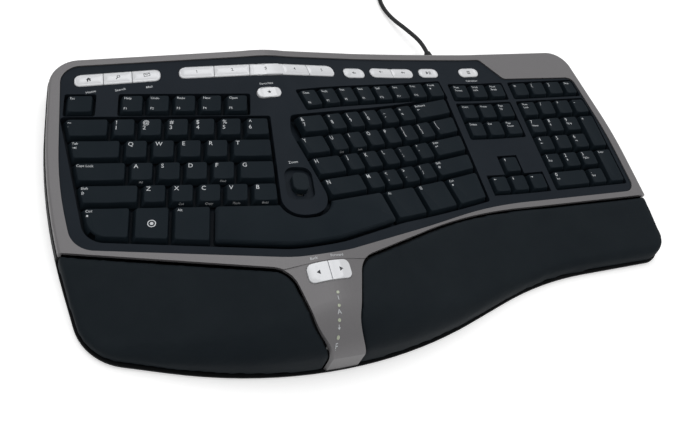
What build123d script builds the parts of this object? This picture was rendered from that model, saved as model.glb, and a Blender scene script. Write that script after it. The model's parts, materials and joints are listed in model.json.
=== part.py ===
from build123d import *
import math
import os

# Ergonomic split keyboard. Millimetres, X to the right, Y to the back, Z up.
# Every place in plan is a share of the key pitch, so the casing follows the keys.

# Key field
key_pitch = 19.0
key_height = 6.6          # cap above its lower edge
key_travel = 3.2
key_top_gap = 2.6         # from the cell's border to the cap's top face
key_foot_gap = 0.8        # from the cell's border to the cap's lower edge
key_dish = 0.45           # how far the top face is hollowed
key_dish_radius = 42.0
key_corner_foot = 1.0
key_corner_top = 1.9
key_edge = 0.5            # width of the softened edge round the top face
key_wall = 1.2
stem_radius = 2.8
stem_clearance = 0.3
chimney_wall = 0.7        # of the guides round the stems
chimney_height = 2.4

# Gull wing surface that the key tops follow
ridge_height = 60.2       # where the two slopes would meet
left_height = 18.6        # at the left end
flat_height = 25.0        # right of the valley
ridge_round = 60.0
valley_round = 600.0
back_rise_share = 0.031   # rise towards the back
ridge_share = -4.08
valley_share = 3.76
wing_end_share = 13.4
field_depth = 180.0       # half length of the wing solids along Y

# Heights of the layers, measured down from the key tops
bezel_depth = 1.0
deck_depth = 2.0
plate_thickness = 2.4
well_floor_thickness = 1.1
well_floor_clearance = 0.6 # left under a pressed key
well_wall = 1.8
layer_gap = 0.3
dome_thickness = 0.6
dome_skirt_height = 2.2
dome_radius = 4.6
contact_thickness = 0.4
backing_thickness = 1.0
sheet_inset = 5.0         # from the deck's border to the sheets

# Casing
foot_height = 1.2
floor_thickness = 2.2
case_wall = 2.4
case_rim_depth = 7.0      # side wall of the bottom case ends this far below the key tops
bezel_inset = 0.6
bezel_wall = 2.4
bezel_round = 2.2
joint_gap = 0.3           # between pieces that meet
small_gap = 0.1
pillar_radius = 3.6
overrun = 5.0             # how far cutting bodies run past what they cut

# Palm rest
palm_ridge_height = 64.2
palm_left_height = 18.5
palm_flat_height = 25.8
palm_slope_share = 0.10
palm_base = 4.2
palm_nose_share = 0.80    # share of the front height that is rounded off
pad_thickness = 5.0
palm_frame_wall = 2.4
palm_least = 0.8          # least height of the palm rest's inner layers
tongue_thickness = 2.4
pad_edge_round = 2.2

# Hot keys
hot_key_height = 4.4
hot_key_proud = 1.6
hot_key_travel = 0.9
hot_key_gap = 0.35
hot_key_split = 0.5
hot_key_flange = 1.0
hot_key_flange_thickness = 1.0
hot_key_round = 1.0
space_bar_round = 1.6
space_corner = 3.4
hot_key_stem_radius = 1.5
hot_key_depth = 10.4
small_hot_key_depth = 9.4
tongue_key_depth = 14.2
pill_corner = 4.4
switch_strip_thickness = 1.2

# Zoom slider
knob_length = 15.5
knob_width = 12.0
knob_round = 4.2
knob_edge = 0.8
knob_proud = 2.6
slider_travel = 5.0
recess_length = 28.0
recess_width = 21.0
recess_round = 7.0
recess_depth = 3.4
slider_post_width = 5.0
slider_post_length = 8.0
slider_housing_wall = 1.0
slider_floor = 1.6
slider_flange = 1.2
slider_turn = -8.0

# Rear legs
leg_length = 27.0
leg_width = 30.0
leg_thickness = 4.0
leg_pin_radius = 1.6
leg_pin_length = 1.8
leg_pin_clearance = 0.08
leg_gap = 0.5
leg_pocket_wall = 3.0
leg_edge_round = 1.4
leg_place_shares = {"left_leg": (-10.0, 5.98), "right_leg": (10.0, 5.98)}

# Feet, screws, boards and lamps
rubber_foot_radius = 7.0
rubber_foot_seat = 0.5
screw_head_radius = 2.8
screw_head_height = 1.8
screw_shank_radius = 1.3
screw_length = 8.0
screw_seat = 2.5          # pillar left above a screw head
screw_pillar_radius = 4.6
boss_radius = 3.4
palm_rim_height = 4.0
board_thickness = 1.6
board_lift = 0.3
board_length = 62.0
board_depth = 38.0
chip_height = 1.4
chip_size = 10.0
lamp_radius = 1.1
lamp_proud = 0.25
lamp_board_thickness = 1.0
lamp_board_width = 12.0
lamp_board_length = 34.0
bottom_edge = 1.2

# Cord
cord_radius = 2.0
cord_exit_height = 12.0
relief_length = 16.0
relief_radius = 4.6
relief_tip_radius = 2.9
relief_flange_radius = 6.0
relief_flange_thickness = 1.6
relief_neck_radius = 3.6
coil_middle_radius = 23.9
coil_step = 4.5           # from turn to turn
coil_layer_rise = 4.6
coil_turns = 3            # in each layer
coil_layers = 4
coil_outer_gap = 10.5     # from the outermost turn to the loop that leads down to the plug
coil_centre_shares = (3.3, 14.4)
plug_rest = 0.3
plug_round = 2.4
plug_length = 26.0
plug_width = 15.5
plug_height = 8.0
plug_shell_length = 18.5
plug_shell_width = 12.0
plug_shell_height = 4.5
plug_shell_wall = 0.4
tie_width = 6.0
tie_thickness = 1.0
tie_clearance = 0.3


# Plan helpers

def plan(x_share, y_share):
    return (x_share * key_pitch, y_share * key_pitch)


def block_place(origin_shares, turn, key_x, key_y, first_share):
    """Place in plan of a spot that is counted in keys along and across a block."""
    along = (key_x - first_share) * key_pitch
    across = key_y * key_pitch
    cos_turn = math.cos(math.radians(turn))
    sin_turn = math.sin(math.radians(turn))
    origin_x, origin_y = plan(*origin_shares)
    return (origin_x + along * cos_turn - across * sin_turn,
            origin_y + along * sin_turn + across * cos_turn)


left_turn = -13.4
right_turn = 12.0


left_origin_shares = (-7.935, -0.027)
left_zero_share = 4.5
right_origin_shares = (0.9, 0.147)
right_zero_share = 10.5
pad_origin_shares = (9.13, -0.316)


def left_place(key_x, key_y):
    return block_place(left_origin_shares, left_turn, key_x, key_y, left_zero_share)


def right_place(key_x, key_y):
    return block_place(right_origin_shares, right_turn, key_x, key_y, right_zero_share)


def pad_place(key_x, key_y):
    return block_place(pad_origin_shares, 0, key_x, key_y, 0)


def nav_place(key_x, key_y):
    return block_place((5.774, -0.316), 0, key_x, key_y, 0)


def move_line(start, end, distance):
    """The line through two points, moved to its left by a distance."""
    run_x = end[0] - start[0]
    run_y = end[1] - start[1]
    length = math.hypot(run_x, run_y)
    shift_x = -run_y / length * distance
    shift_y = run_x / length * distance
    return ((start[0] + shift_x, start[1] + shift_y), (end[0] + shift_x, end[1] + shift_y))


def cross_lines(first, second):
    (ax, ay), (bx, by) = first
    (cx, cy), (dx, dy) = second
    spread = (bx - ax) * (dy - cy) - (by - ay) * (dx - cx)
    share = ((cx - ax) * (dy - cy) - (cy - ay) * (dx - cx)) / spread
    return (ax + share * (bx - ax), ay + share * (by - ay))


def shrink(points, distance):
    """A closed counter-clockwise outline with every side moved inwards."""
    sides = [move_line(points[i], points[(i + 1) % len(points)], distance) for i in range(len(points))]
    return [cross_lines(sides[i - 1], sides[i]) for i in range(len(points))]


def clip(points, line):
    """The part of a convex outline that lies left of a line."""
    (ax, ay), (bx, by) = line
    kept = []
    for i, point in enumerate(points):
        following = points[(i + 1) % len(points)]
        side = (bx - ax) * (point[1] - ay) - (by - ay) * (point[0] - ax)
        next_side = (bx - ax) * (following[1] - ay) - (by - ay) * (following[0] - ax)
        if side >= 0:
            kept.append(point)
        if side * next_side < 0:
            kept.append(cross_lines((point, following), line))
    return kept


def turn_at(points, i):
    """Signed turn of the outline at one of its corners, in radians."""
    before = points[i - 1]
    corner = points[i]
    after = points[(i + 1) % len(points)]
    first = math.atan2(corner[1] - before[1], corner[0] - before[0])
    second = math.atan2(after[1] - corner[1], after[0] - corner[0])
    return (second - first + math.pi) % (2 * math.pi) - math.pi


def rounded_wire(points, radii, lift):
    """Closed wire of straight sides and tangent arcs; lift turns a plan point into a solid one."""
    count = len(points)
    starts = []
    arcs = []
    for i in range(count):
        turn = turn_at(points, i)
        reach = radii[i] * math.tan(abs(turn) / 2)
        corner = points[i]
        before = points[i - 1]
        after = points[(i + 1) % count]
        to_before = math.hypot(before[0] - corner[0], before[1] - corner[1])
        to_after = math.hypot(after[0] - corner[0], after[1] - corner[1])
        first = tuple(c + (b - c) * reach / to_before for c, b in zip(corner, before))
        last = tuple(c + (a - c) * reach / to_after for c, a in zip(corner, after))
        sag = radii[i] * (1 / math.cos(turn / 2) - 1)
        mid_x = (first[0] + last[0]) / 2 - corner[0]
        mid_y = (first[1] + last[1]) / 2 - corner[1]
        mid_length = math.hypot(mid_x, mid_y)
        if reach > 0 and mid_length > 0:
            middle = (corner[0] + mid_x / mid_length * sag, corner[1] + mid_y / mid_length * sag)
            arcs.append((first, middle, last))
        else:
            arcs.append(None)
        starts.append((first, last))
    edges = []
    for i in range(count):
        if arcs[i] is not None:
            edges.append(Edge.make_three_point_arc(*[Vector(*lift(*p)) for p in arcs[i]]))
        begin = Vector(*lift(*starts[i][1]))
        finish = Vector(*lift(*starts[(i + 1) % count][0]))
        edges.append(Edge.make_line(begin, finish))
    return Wire(edges)


def flat_lift(x, y):
    return (x, y, 0)


def outline_face(points, radii):
    return Face(rounded_wire(points, radii, flat_lift))


def inset_face(points, radii, inset):
    """Face whose outline is drawn in by a distance (or out, where it is negative)."""
    changed = []
    for i, radius in enumerate(radii):
        sign = 1 if turn_at(points, i) > 0 else -1
        changed.append(max(radius - sign * inset, 0) if radius else 0)
    return outline_face(shrink(points, inset), changed)


def share_face(shares, inset=0):
    """Face in plan from corners given as X, Y and rounding, each in key pitches."""
    return inset_face([plan(x, y) for x, y, _ in shares], [r * key_pitch for _, _, r in shares], inset)


def prism(face, low, high):
    return Pos(0, 0, low) * extrude(face, high - low, dir=(0, 0, 1))


def polygon_face(points):
    return Face(Wire.make_polygon([Vector(x, y, 0) for x, y in points], close=True))


def joined(solids):
    return solids[0].fuse(*solids[1:]) if len(solids) > 1 else solids[0]


# Wing surface

tall = 2 * ridge_height
ridge_x = ridge_share * key_pitch
valley_x = valley_share * key_pitch
wing_end_x = wing_end_share * key_pitch


def wing_corners(left, ridge, flat, drop):
    return [(-wing_end_x, left - drop), (ridge_x, ridge - drop), (valley_x, flat - drop), (wing_end_x, flat - drop)]


def rounded_height(corners, radii, x):
    """Height of a line of straight runs whose inner corners are rounded."""
    height = None
    for i in range(len(corners) - 1):
        (ax, az), (bx, bz) = corners[i], corners[i + 1]
        if x <= bx or i == len(corners) - 2:
            height = az + (bz - az) * (x - ax) / (bx - ax)
            break
    for i in range(1, len(corners) - 1):
        (ax, az), (bx, bz), (cx, cz) = corners[i - 1], corners[i], corners[i + 1]
        first = math.atan2(bz - az, bx - ax)
        second = math.atan2(cz - bz, cx - bx)
        reach = radii[i - 1] * math.tan(abs(second - first) / 2)
        low_x = bx - reach * math.cos(first)
        high_x = bx + reach * math.cos(second)
        if low_x < x < high_x:
            low_z = bz - reach * math.sin(first)
            sign = 1 if second > first else -1
            centre_x = low_x - sign * radii[i - 1] * math.sin(first)
            centre_z = low_z + sign * radii[i - 1] * math.cos(first)
            height = centre_z - sign * math.sqrt(radii[i - 1] ** 2 - (x - centre_x) ** 2)
    return height


def wing_height(x, y):
    corners = wing_corners(left_height, ridge_height, flat_height, 0)
    return rounded_height(corners, [ridge_round, valley_round], x) + back_rise_share * y


def wing_slope(x, y):
    step = key_pitch / 100
    return (wing_height(x + step, y) - wing_height(x - step, y)) / (2 * step)


def under_wing(drop):
    """Everything below the wing surface lowered by a depth."""
    tilt = math.atan(back_rise_share)
    corners = wing_corners(left_height, ridge_height, flat_height, drop)
    points = [(-wing_end_x, -field_depth), (wing_end_x, -field_depth)] + corners[::-1]
    radii = [0, 0, 0, valley_round, ridge_round, 0]
    wire = rounded_wire(points, radii, lambda x, z: (x, -field_depth, z * math.cos(tilt)))
    return Rot(math.degrees(tilt), 0, 0) * extrude(Face(wire), 2 * field_depth, dir=(0, 1, 0))


def wing_slice(face, top_drop, bottom_drop):
    """The part of an upright prism between two depths below the wing surface."""
    return (prism(face, 0, tall) & under_wing(top_drop)) - under_wing(bottom_drop)


def upright(x, y, low, high, radius):
    """Upright round bar."""
    return Pos(x, y, low) * extrude(Circle(radius), high - low, dir=(0, 0, 1))


def bar_slices(places, radius, top_drop, bottom_drop=None):
    """Upright round bars that start and end at depths below the wing surface."""
    bars = Compound([upright(x, y, 0, tall, radius) for x, y in places]) & under_wing(top_drop)
    if bottom_drop is not None:
        bars = bars - under_wing(bottom_drop)
    return list(bars.solids())


# Outlines in key pitches: X, Y, rounding

case_shares = [(-12.34, 7.50, 1.16), (-13.58, 1.21, 26.2), (-13.05, -5.18, 2.0), (-3.99, -8.17, 20.2),
               (6.42, -4.74, 15.7), (13.37, -4.55, 1.05), (13.37, 2.0, 18.8), (12.66, 7.16, 1.16),
               (3.49, 7.16, 42.0), (-4.02, 6.17, 7.9)]
deck_shares = [(-11.97, 7.04, 0.74), (-12.9, 1.58, 17.0), (-12.82, -1.16, 1.05), (-4.36, -3.78, 5.3),
               (4.84, -1.29, 15.8), (12.86, -1.29, 0.53), (12.86, 2.0, 18.4), (12.45, 5.45, 0.42),
               (8.47, 5.53, 0.32), (7.55, 6.74, 0.21), (3.47, 6.74, 42.0), (-4.02, 5.76, 7.9)]
left_pad_shares = [(-14.3, -0.82, 0), (-14.3, -8.42, 0), (-3.32, -8.42, 0), (-5.17, -6.3, 1.4), (-5.62, -3.88, 1.16)]
right_pad_shares = [(-2.71, -3.8, 1.16), (-3.62, -6.5, 1.0), (-2.0, -8.42, 0), (14.3, -8.42, 0), (14.3, -1.59, 0),
                    (3.61, -1.59, 17.3)]

case_face = share_face(case_shares)
deck_face = share_face(deck_shares)

deck_floor_depth = key_height + key_travel + well_floor_clearance
deck_under_depth = deck_floor_depth + well_floor_thickness
dome_top_depth = deck_under_depth + layer_gap
stem_tip_depth = dome_top_depth
contact_depth = stem_tip_depth + key_travel + layer_gap
dome_under_depth = contact_depth - small_gap
backing_depth = contact_depth + contact_thickness + small_gap
pillar_depth = backing_depth + backing_thickness + small_gap
floor_top = foot_height + floor_thickness

# Key cells: the area that each key has, before the gaps round its cap

deck_lip = 6.4            # from the deck's border to the wells
cell_lip = 1.5            # from a well's wall to the cells
pad_edge_lip = 1.7        # from the deck's border to the last column of the number pad
deck_corners = [plan(x, y) for x, y, _ in deck_shares]
left_limit_share = -12.3
right_limit_share = 4.8
left_limit_x = left_limit_share * key_pitch
right_limit_x = right_limit_share * key_pitch
front_left_line = move_line(deck_corners[2], deck_corners[3], deck_lip + cell_lip)
front_right_shares = [(10.5, -1.97), (13.5, -1.97)]
front_right_line = tuple(right_place(*spot) for spot in front_right_shares)
left_limit_line = ((left_limit_x, key_pitch), (left_limit_x, -key_pitch))
right_limit_line = ((right_limit_x, -key_pitch), (right_limit_x, key_pitch))
lobe_left_shares = [(-5.24, -1.31), (-4.71, 2.31)]
lobe_right_shares = [(-4.03, 2.0), (-3.31, -1.05)]
lobe_left_wall = tuple(plan(*spot) for spot in lobe_left_shares)
lobe_right_wall = tuple(plan(*spot) for spot in lobe_right_shares)
lobe_left_line = move_line(*lobe_left_wall, cell_lip / 2)
lobe_right_line = move_line(*lobe_right_wall, cell_lip / 2)


def cell(place, left, right, low, high, lines=()):
    points = [place(left, low), place(right, low), place(right, high), place(left, high)]
    for line in lines:
        points = clip(points, line)
    return points


def row_cells(place, borders, low, high, lines=()):
    return [cell(place, a, b, low, high, lines) for a, b in zip(borders, borders[1:])]


pad_limit_line = move_line(deck_corners[6], deck_corners[7], pad_edge_lip)
left_lines = (left_limit_line, lobe_left_line, front_left_line)
right_lines = (right_limit_line, lobe_right_line, front_right_line)

# Cell borders along each row, counted in keys; the outermost ones are cut by the limit lines
number_row_shares = (2.5, 3.5)
upper_row_shares = (1.5, 2.5)
home_row_shares = (0.5, 1.5)
lower_row_shares = (-0.47, 0.5)
number_left_shares = [-2, 1, 2, 3, 4, 5, 6, 8]
upper_left_shares = [-2, 1.5, 2.5, 3.5, 4.5, 5.5, 8]
home_left_shares = [-2, 1.75, 2.75, 3.75, 4.75, 5.75, 8]
lower_left_shares = [-2, 2.25, 3.25, 4.25, 5.25, 6.25, 8]
modifier_left_shares = [-2, 2.0, 3.4, 4.88]
number_right_shares = [6.55, 8, 9, 10, 11, 12, 13, 17]
upper_right_shares = [5, 7.5, 8.5, 9.5, 10.5, 11.5, 12.5, 13.5, 17]
home_right_shares = [5, 7.75, 8.75, 9.75, 10.75, 11.75, 12.75, 17]
lower_right_shares = [5, 8.25, 9.25, 10.25, 11.25, 12.25, 17]
modifier_right_shares = [8.82, 10.62, 12.38, 17]
modifier_rows_shares = (-3.2, -0.47)
function_row_shares = (3.62, 4.62)
escape_shares = (-0.78, 0.36)
function_left_shares = [1.25, 2.25, 3.25, 4.25, 5.25, 6.25]
arc_start_shares = (-2.53, 3.77)
arc_keys = 8
arc_first_turn = 13.5
arc_turn_step = 1.1


def function_arc_cells():
    """Eight keys on a gentle arc: each turns a little less than the one before."""
    spot_x, spot_y = plan(*arc_start_shares)
    cells = []
    for i in range(arc_keys):
        turn = math.radians(arc_first_turn - arc_turn_step * i)
        half = key_pitch / 2
        half_depth = key_pitch * (function_row_shares[1] - function_row_shares[0]) / 2
        corners = [(-half, -half_depth), (half, -half_depth), (half, half_depth), (-half, half_depth)]
        cells.append([(spot_x + x * math.cos(turn) - y * math.sin(turn),
                       spot_y + x * math.sin(turn) + y * math.cos(turn)) for x, y in corners])
        next_turn = math.radians(arc_first_turn - arc_turn_step * (i + 1 / 2))
        spot_x += key_pitch * math.cos(next_turn)
        spot_y += key_pitch * math.sin(next_turn)
    return cells


function_right_cells = function_arc_cells()
nav_column_shares = [-0.5, 0.5, 1.5, 2.5]
pad_column_shares = [-0.5, 0.5, 1.5, 2.5, 3.5]
system_rows_shares = (4.68, 5.64)

key_cells = {
    "function_keys_left": [cell(left_place, *escape_shares, *function_row_shares, (left_limit_line,))]
    + row_cells(left_place, function_left_shares, *function_row_shares),
    "number_keys_left": row_cells(left_place, number_left_shares, *number_row_shares, left_lines),
    "upper_keys_left": row_cells(left_place, upper_left_shares, *upper_row_shares, left_lines),
    "home_keys_left": row_cells(left_place, home_left_shares, *home_row_shares, left_lines),
    "lower_keys_left": row_cells(left_place, lower_left_shares, *lower_row_shares, left_lines),
    "modifier_keys_left": row_cells(left_place, modifier_left_shares, *modifier_rows_shares, left_lines),
    "function_keys_right": function_right_cells,
    "number_keys_right": row_cells(right_place, number_right_shares, *number_row_shares, right_lines),
    "upper_keys_right": row_cells(right_place, upper_right_shares, *upper_row_shares, right_lines),
    "home_keys_right": row_cells(right_place, home_right_shares, *home_row_shares, right_lines),
    "lower_keys_right": row_cells(right_place, lower_right_shares, *lower_row_shares, right_lines),
    "modifier_keys_right": row_cells(right_place, modifier_right_shares, *modifier_rows_shares, right_lines),
    "system_keys": row_cells(nav_place, nav_column_shares, *system_rows_shares)
    + row_cells(pad_place, pad_column_shares, *system_rows_shares, (pad_limit_line,)),
    "navigation_keys": row_cells(nav_place, nav_column_shares, 3.5, 4.5) + row_cells(nav_place, nav_column_shares, 2.5, 3.5),
    "arrow_keys": [cell(nav_place, 0.5, 1.5, 0.5, 1.5)] + row_cells(nav_place, nav_column_shares, -0.5, 0.5),
    "number_pad_upper_keys": row_cells(pad_place, pad_column_shares, 3.5, 4.5, (pad_limit_line,))
    + row_cells(pad_place, pad_column_shares[:4], 2.5, 3.5),
    "number_pad_lower_keys": row_cells(pad_place, pad_column_shares[:4], 1.5, 2.5)
    + row_cells(pad_place, pad_column_shares[:4], 0.5, 1.5)
    + [cell(pad_place, -0.5, 1.5, -0.5, 0.5), cell(pad_place, 1.5, 2.5, -0.5, 0.5)],
    "number_pad_tall_keys": [cell(pad_place, 2.5, 3.5, 1.5, 3.5), cell(pad_place, 2.5, 3.5, -0.5, 1.5)],
}


# Walls of the key wells

well_margin = 0.6         # from the cells to the walls of the small wells
main_wall_gap = 1.5       # from the cells to the walls of the main well
left_wall = move_line(*left_limit_line, -main_wall_gap)
right_wall = move_line(*right_limit_line, -main_wall_gap)
front_left_wall = move_line(*front_left_line, -main_wall_gap)
front_right_wall = move_line(*front_right_line, -main_wall_gap)
space_front_shares = [(5.6, -2.26), (8.82, -1.99)]
space_front_right = tuple(right_place(*spot) for spot in space_front_shares)
space_right_wall = move_line(*space_front_right, -main_wall_gap)
back_wall_share = 3.57
lobe_front_share = -1.84
left_back_wall = (left_place(7, back_wall_share), left_place(0, back_wall_share))
right_back_wall = (right_place(13, back_wall_share), right_place(7, back_wall_share))
lobe_front_wall = (plan(-3, lobe_front_share), plan(-5, lobe_front_share))
lobe_back_share = 6.45
well_round_shares = [0.95, 4.7, 10, 0.15, 0.1, 0.25, 1.0, 0.85, 0.85, 0.1, 0.15]
lobe_round = 0.85 * key_pitch


def main_well_face(extra):
    corners = [cross_lines(left_wall, front_left_wall),
               cross_lines(front_left_wall, space_right_wall),
               cross_lines(space_right_wall, front_right_wall),
               cross_lines(front_right_wall, right_wall),
               cross_lines(right_wall, right_back_wall),
               right_place(lobe_back_share, back_wall_share),
               lobe_right_wall[0],
               cross_lines(lobe_right_wall, lobe_front_wall),
               cross_lines(lobe_front_wall, lobe_left_wall),
               cross_lines(lobe_left_wall, left_back_wall),
               cross_lines(left_back_wall, left_wall)]
    return inset_face(corners, [share * key_pitch for share in well_round_shares], -extra)


def cell_well(points, extra):
    return inset_face(shrink(points, -well_margin), [key_corner_top] * len(points), -extra)


def arc_well(extra):
    fronts = [c[0] for c in function_right_cells] + [function_right_cells[-1][1]]
    backs = [c[3] for c in function_right_cells] + [function_right_cells[-1][2]]
    points = shrink(fronts + backs[::-1], -well_margin)
    last = len(fronts) - 1
    radii = [key_corner_top if i in (0, last, last + 1, 2 * last + 1) else 0 for i in range(len(points))]
    return inset_face(points, radii, -extra)


arrow_well_shares = [(-0.5, -0.5), (2.5, -0.5), (2.5, 0.5), (1.5, 0.5), (1.5, 1.5), (0.5, 1.5), (0.5, 0.5),
                     (-0.5, 0.5)]


def arrow_well(extra):
    points = [nav_place(*spot) for spot in arrow_well_shares]
    return inset_face(shrink(points, -well_margin), [0] * len(points), -extra)


def well_faces(extra):
    """Outlines of the key wells, grown by a distance."""
    return [main_well_face(extra),
            cell_well(key_cells["function_keys_left"][0], extra),
            cell_well(cell(left_place, 1.25, 6.25, *function_row_shares), extra),
            arc_well(extra),
            cell_well(cell(nav_place, -0.5, 2.5, *system_rows_shares), extra),
            cell_well(cell(pad_place, -0.5, 3.5, *system_rows_shares, (pad_limit_line,)), extra),
            cell_well(cell(nav_place, -0.5, 2.5, 2.5, 4.5), extra),
            arrow_well(extra),
            cell_well(cell(pad_place, -0.5, 3.5, -0.5, 4.5, (pad_limit_line,)), extra)]


# Key caps

soft_edge_shares = [(0, 1), (0.22, 0.5), (0.55, 0.18), (1, 0)]   # inset and drop of a softened edge's steps


def centre_of(points):
    return (sum(p[0] for p in points) / len(points), sum(p[1] for p in points) / len(points))


def corner_radii(points, big_corner, base):
    radii = []
    for point in points:
        near = big_corner is not None and math.dist(point, big_corner[0]) < key_pitch / 2
        radii.append(big_corner[1] if near else base)
    return radii


def stem(x, y, top_drop):
    """Round stem of a cap; its tip is parallel to the sheets below it."""
    height = wing_height(x, y)
    tip = height - stem_tip_depth
    bar = upright(x, y, tip - stem_radius, height - top_drop, stem_radius)
    tilt = math.degrees(math.atan(wing_slope(x, y)))
    return bar - Pos(x, y, tip) * Rot(0, -tilt, 0) * Pos(0, 0, -key_pitch / 2) * Box(key_pitch, key_pitch, key_pitch)


def key_cap(points, turn, big_corner=None):
    """Hollow cap with softened edges, a dished top face and a stem."""
    x, y = centre_of(points)
    slope = wing_slope(x, y)
    height = wing_height(x, y)

    def level(drop):
        return lambda px, py: (px, py, height + slope * (px - x) + back_rise_share * (py - y) - drop)

    sections = [(key_foot_gap, key_height, key_corner_foot), (key_top_gap - key_edge / 2, key_edge, key_corner_top),
                (key_top_gap, key_edge / 4, key_corner_top), (key_top_gap + key_edge / 2, 0, key_corner_top)]
    faces = []
    for gap, drop, radius in sections:
        radii = corner_radii(points, big_corner, radius)
        faces.append(Face(rounded_wire(shrink(points, gap), radii, level(drop))))
    cap = loft(faces, ruled=True)
    width = max(math.dist(points[0], points[1]), key_pitch)
    dish_radius = key_dish_radius * (width / key_pitch) ** 2
    tilt = math.degrees(math.atan(slope))
    dish = Rot(90, 0, 0) * Cylinder(dish_radius, 2 * key_pitch + 2 * width)
    dish = Pos(x, y, height - key_dish) * Rot(0, -tilt, 0) * Rot(0, 0, turn) * Pos(0, 0, dish_radius) * dish
    lower = Face(rounded_wire(shrink(points, key_foot_gap + key_wall), [0] * len(points), level(key_height + small_gap)))
    upper = Face(rounded_wire(shrink(points, key_top_gap + key_wall), [0] * len(points), level(key_wall + key_dish)))
    return cap - dish - loft([lower, upper], ruled=True) + stem(x, y, key_wall + key_dish / 2)


space_left_share = 4.88          # where its ends lie, counted in keys along the blocks
space_right_share = 8.82
space_front_round_share = 4.6


def space_outline():
    """Corners and roundings of the space bar's cell, as if there were no lobe."""
    low, back = modifier_rows_shares[0], lower_row_shares[0]
    left_side = (left_place(space_left_share, low), left_place(space_left_share, back))
    right_side = (right_place(space_right_share, low), right_place(space_right_share, back))
    left_back = (left_place(space_left_share, back), left_place(space_left_share + 2, back))
    right_back = (right_place(7, back), right_place(9, back))
    return [(cross_lines(left_side, front_left_line), key_corner_top),
            (cross_lines(front_left_line, space_front_right), space_front_round_share * key_pitch),
            (cross_lines(right_side, space_front_right), key_corner_top),
            (cross_lines(right_side, right_back), key_corner_top),
            (cross_lines(left_back, right_back), key_corner_top),
            (cross_lines(left_side, left_back), key_corner_top)]


def lobe_face(extra):
    """Outline of the lobe, grown by a distance."""
    points = [lobe_left_wall[1], cross_lines(lobe_left_wall, lobe_front_wall),
              cross_lines(lobe_front_wall, lobe_right_wall), lobe_right_wall[0]]
    return inset_face(points, [0, lobe_round, lobe_round, 0], -extra)


space_middle_share = (-4.08, -2.6)
space_side_shares = ((5.5, -1.4), (8.1, -1.3))
space_stems = [plan(*space_middle_share), left_place(*space_side_shares[0]), right_place(*space_side_shares[1])]


def space_bar():
    """Wide cap that bends round the lobe and whose top face follows the wing over the ridge."""
    corners = space_outline()
    points = [point for point, _ in corners]

    def rim_radii(gap):
        radii = []
        for i, (_, radius) in enumerate(corners):
            sign = 1 if turn_at(points, i) > 0 else -1
            radii.append(radius - sign * gap if radius > key_pitch / 2 else space_corner - gap / 2)
        return radii

    def layer(gap, drop):
        face = outline_face(shrink(points, gap), rim_radii(gap)) - lobe_face(cell_lip / 2 + gap)
        face = face & main_well_face(small_gap - main_wall_gap - gap)
        return prism(face, -overrun, ridge_height + overrun) & under_wing(drop)

    space_gap = (key_foot_gap + key_top_gap) / 2
    steps = [(inset * space_bar_round, drop * space_bar_round) for inset, drop in soft_edge_shares]
    cap = joined([layer(space_gap + inset, drop) for inset, drop in steps]) - under_wing(key_height)
    cap = cap - layer(space_gap + key_wall, key_wall)
    for x, y in space_stems:
        cap = cap + stem(x, y, key_wall / 2)
    return cap


ctrl_round_share = 0.8
ctrl_corner = (cross_lines(left_limit_line, front_left_line), ctrl_round_share * key_pitch)
stem_places = list(space_stems)
for cells in key_cells.values():
    stem_places += [centre_of(points) for points in cells]


def key_row(name):
    turn = left_turn if name.endswith("left") else right_turn if name.endswith("right") else 0
    corner = ctrl_corner if name == "modifier_keys_left" else None
    return [key_cap(points, turn, corner) for points in key_cells[name]]


# Hot keys: middle line of each bar, its depth and the places where it is divided

hot_stem_depth = plate_thickness + hot_key_travel / 2 + hot_key_flange_thickness + hot_key_height / 2
switch_depth = hot_stem_depth + hot_key_travel + 2 * joint_gap

hot_group_shares = {
    "left": ([(-11.58, 6.26), (-8.32, 5.79)], hot_key_depth, [0.333, 0.667]),
    "favourites": ([(-7.6, 5.72), (-4.1, 5.1), (-0.85, 5.49)], hot_key_depth, [0.2, 0.405, 0.6, 0.8]),
    "star": ([(-4.87, 3.99), (-3.87, 3.99)], small_hot_key_depth, []),
    "mute": ([(-0.32, 5.48), (0.8, 5.63)], small_hot_key_depth, []),
    "volume": ([(1.16, 5.72), (3.53, 5.9)], small_hot_key_depth, [0.5]),
    "play": ([(3.9, 5.94), (4.95, 5.98)], small_hot_key_depth, []),
    "calculator": ([(6.16, 6.0), (7.22, 6.02)], small_hot_key_depth, []),
    "back_forward": ([(-5.1, -4.28), (-3.42, -4.28)], tongue_key_depth, [0.5]),
}
hot_names = {
    "left": ["home_page_key", "search_key", "mail_key"],
    "favourites": ["favourite_key_1", "favourite_key_2", "favourite_key_3", "favourite_key_4", "favourite_key_5"],
    "star": ["favourites_key"],
    "mute": ["mute_key"],
    "volume": ["volume_down_key", "volume_up_key"],
    "play": ["play_pause_key"],
    "calculator": ["calculator_key"],
    "back_forward": ["back_key", "forward_key"],
}


def bar_face(spots, depth, extra):
    """Bar of a given depth along a bent middle line, with rounded ends, grown by extra all round."""
    line = [plan(*spot) for spot in spots]
    half = depth / 2
    fronts = []
    backs = []
    sides = [move_line(a, b, -half) for a, b in zip(line, line[1:])]
    others = [move_line(a, b, half) for a, b in zip(line, line[1:])]
    fronts = [sides[0][0]] + [cross_lines(a, b) for a, b in zip(sides, sides[1:])] + [sides[-1][1]]
    backs = [others[0][0]] + [cross_lines(a, b) for a, b in zip(others, others[1:])] + [others[-1][1]]
    points = shrink(fronts + backs[::-1], -extra)
    ends = {0, len(fronts) - 1, len(fronts), len(points) - 1}
    radii = [pill_corner + extra if i in ends else ridge_round for i in range(len(points))]
    return outline_face(points, radii)


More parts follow.
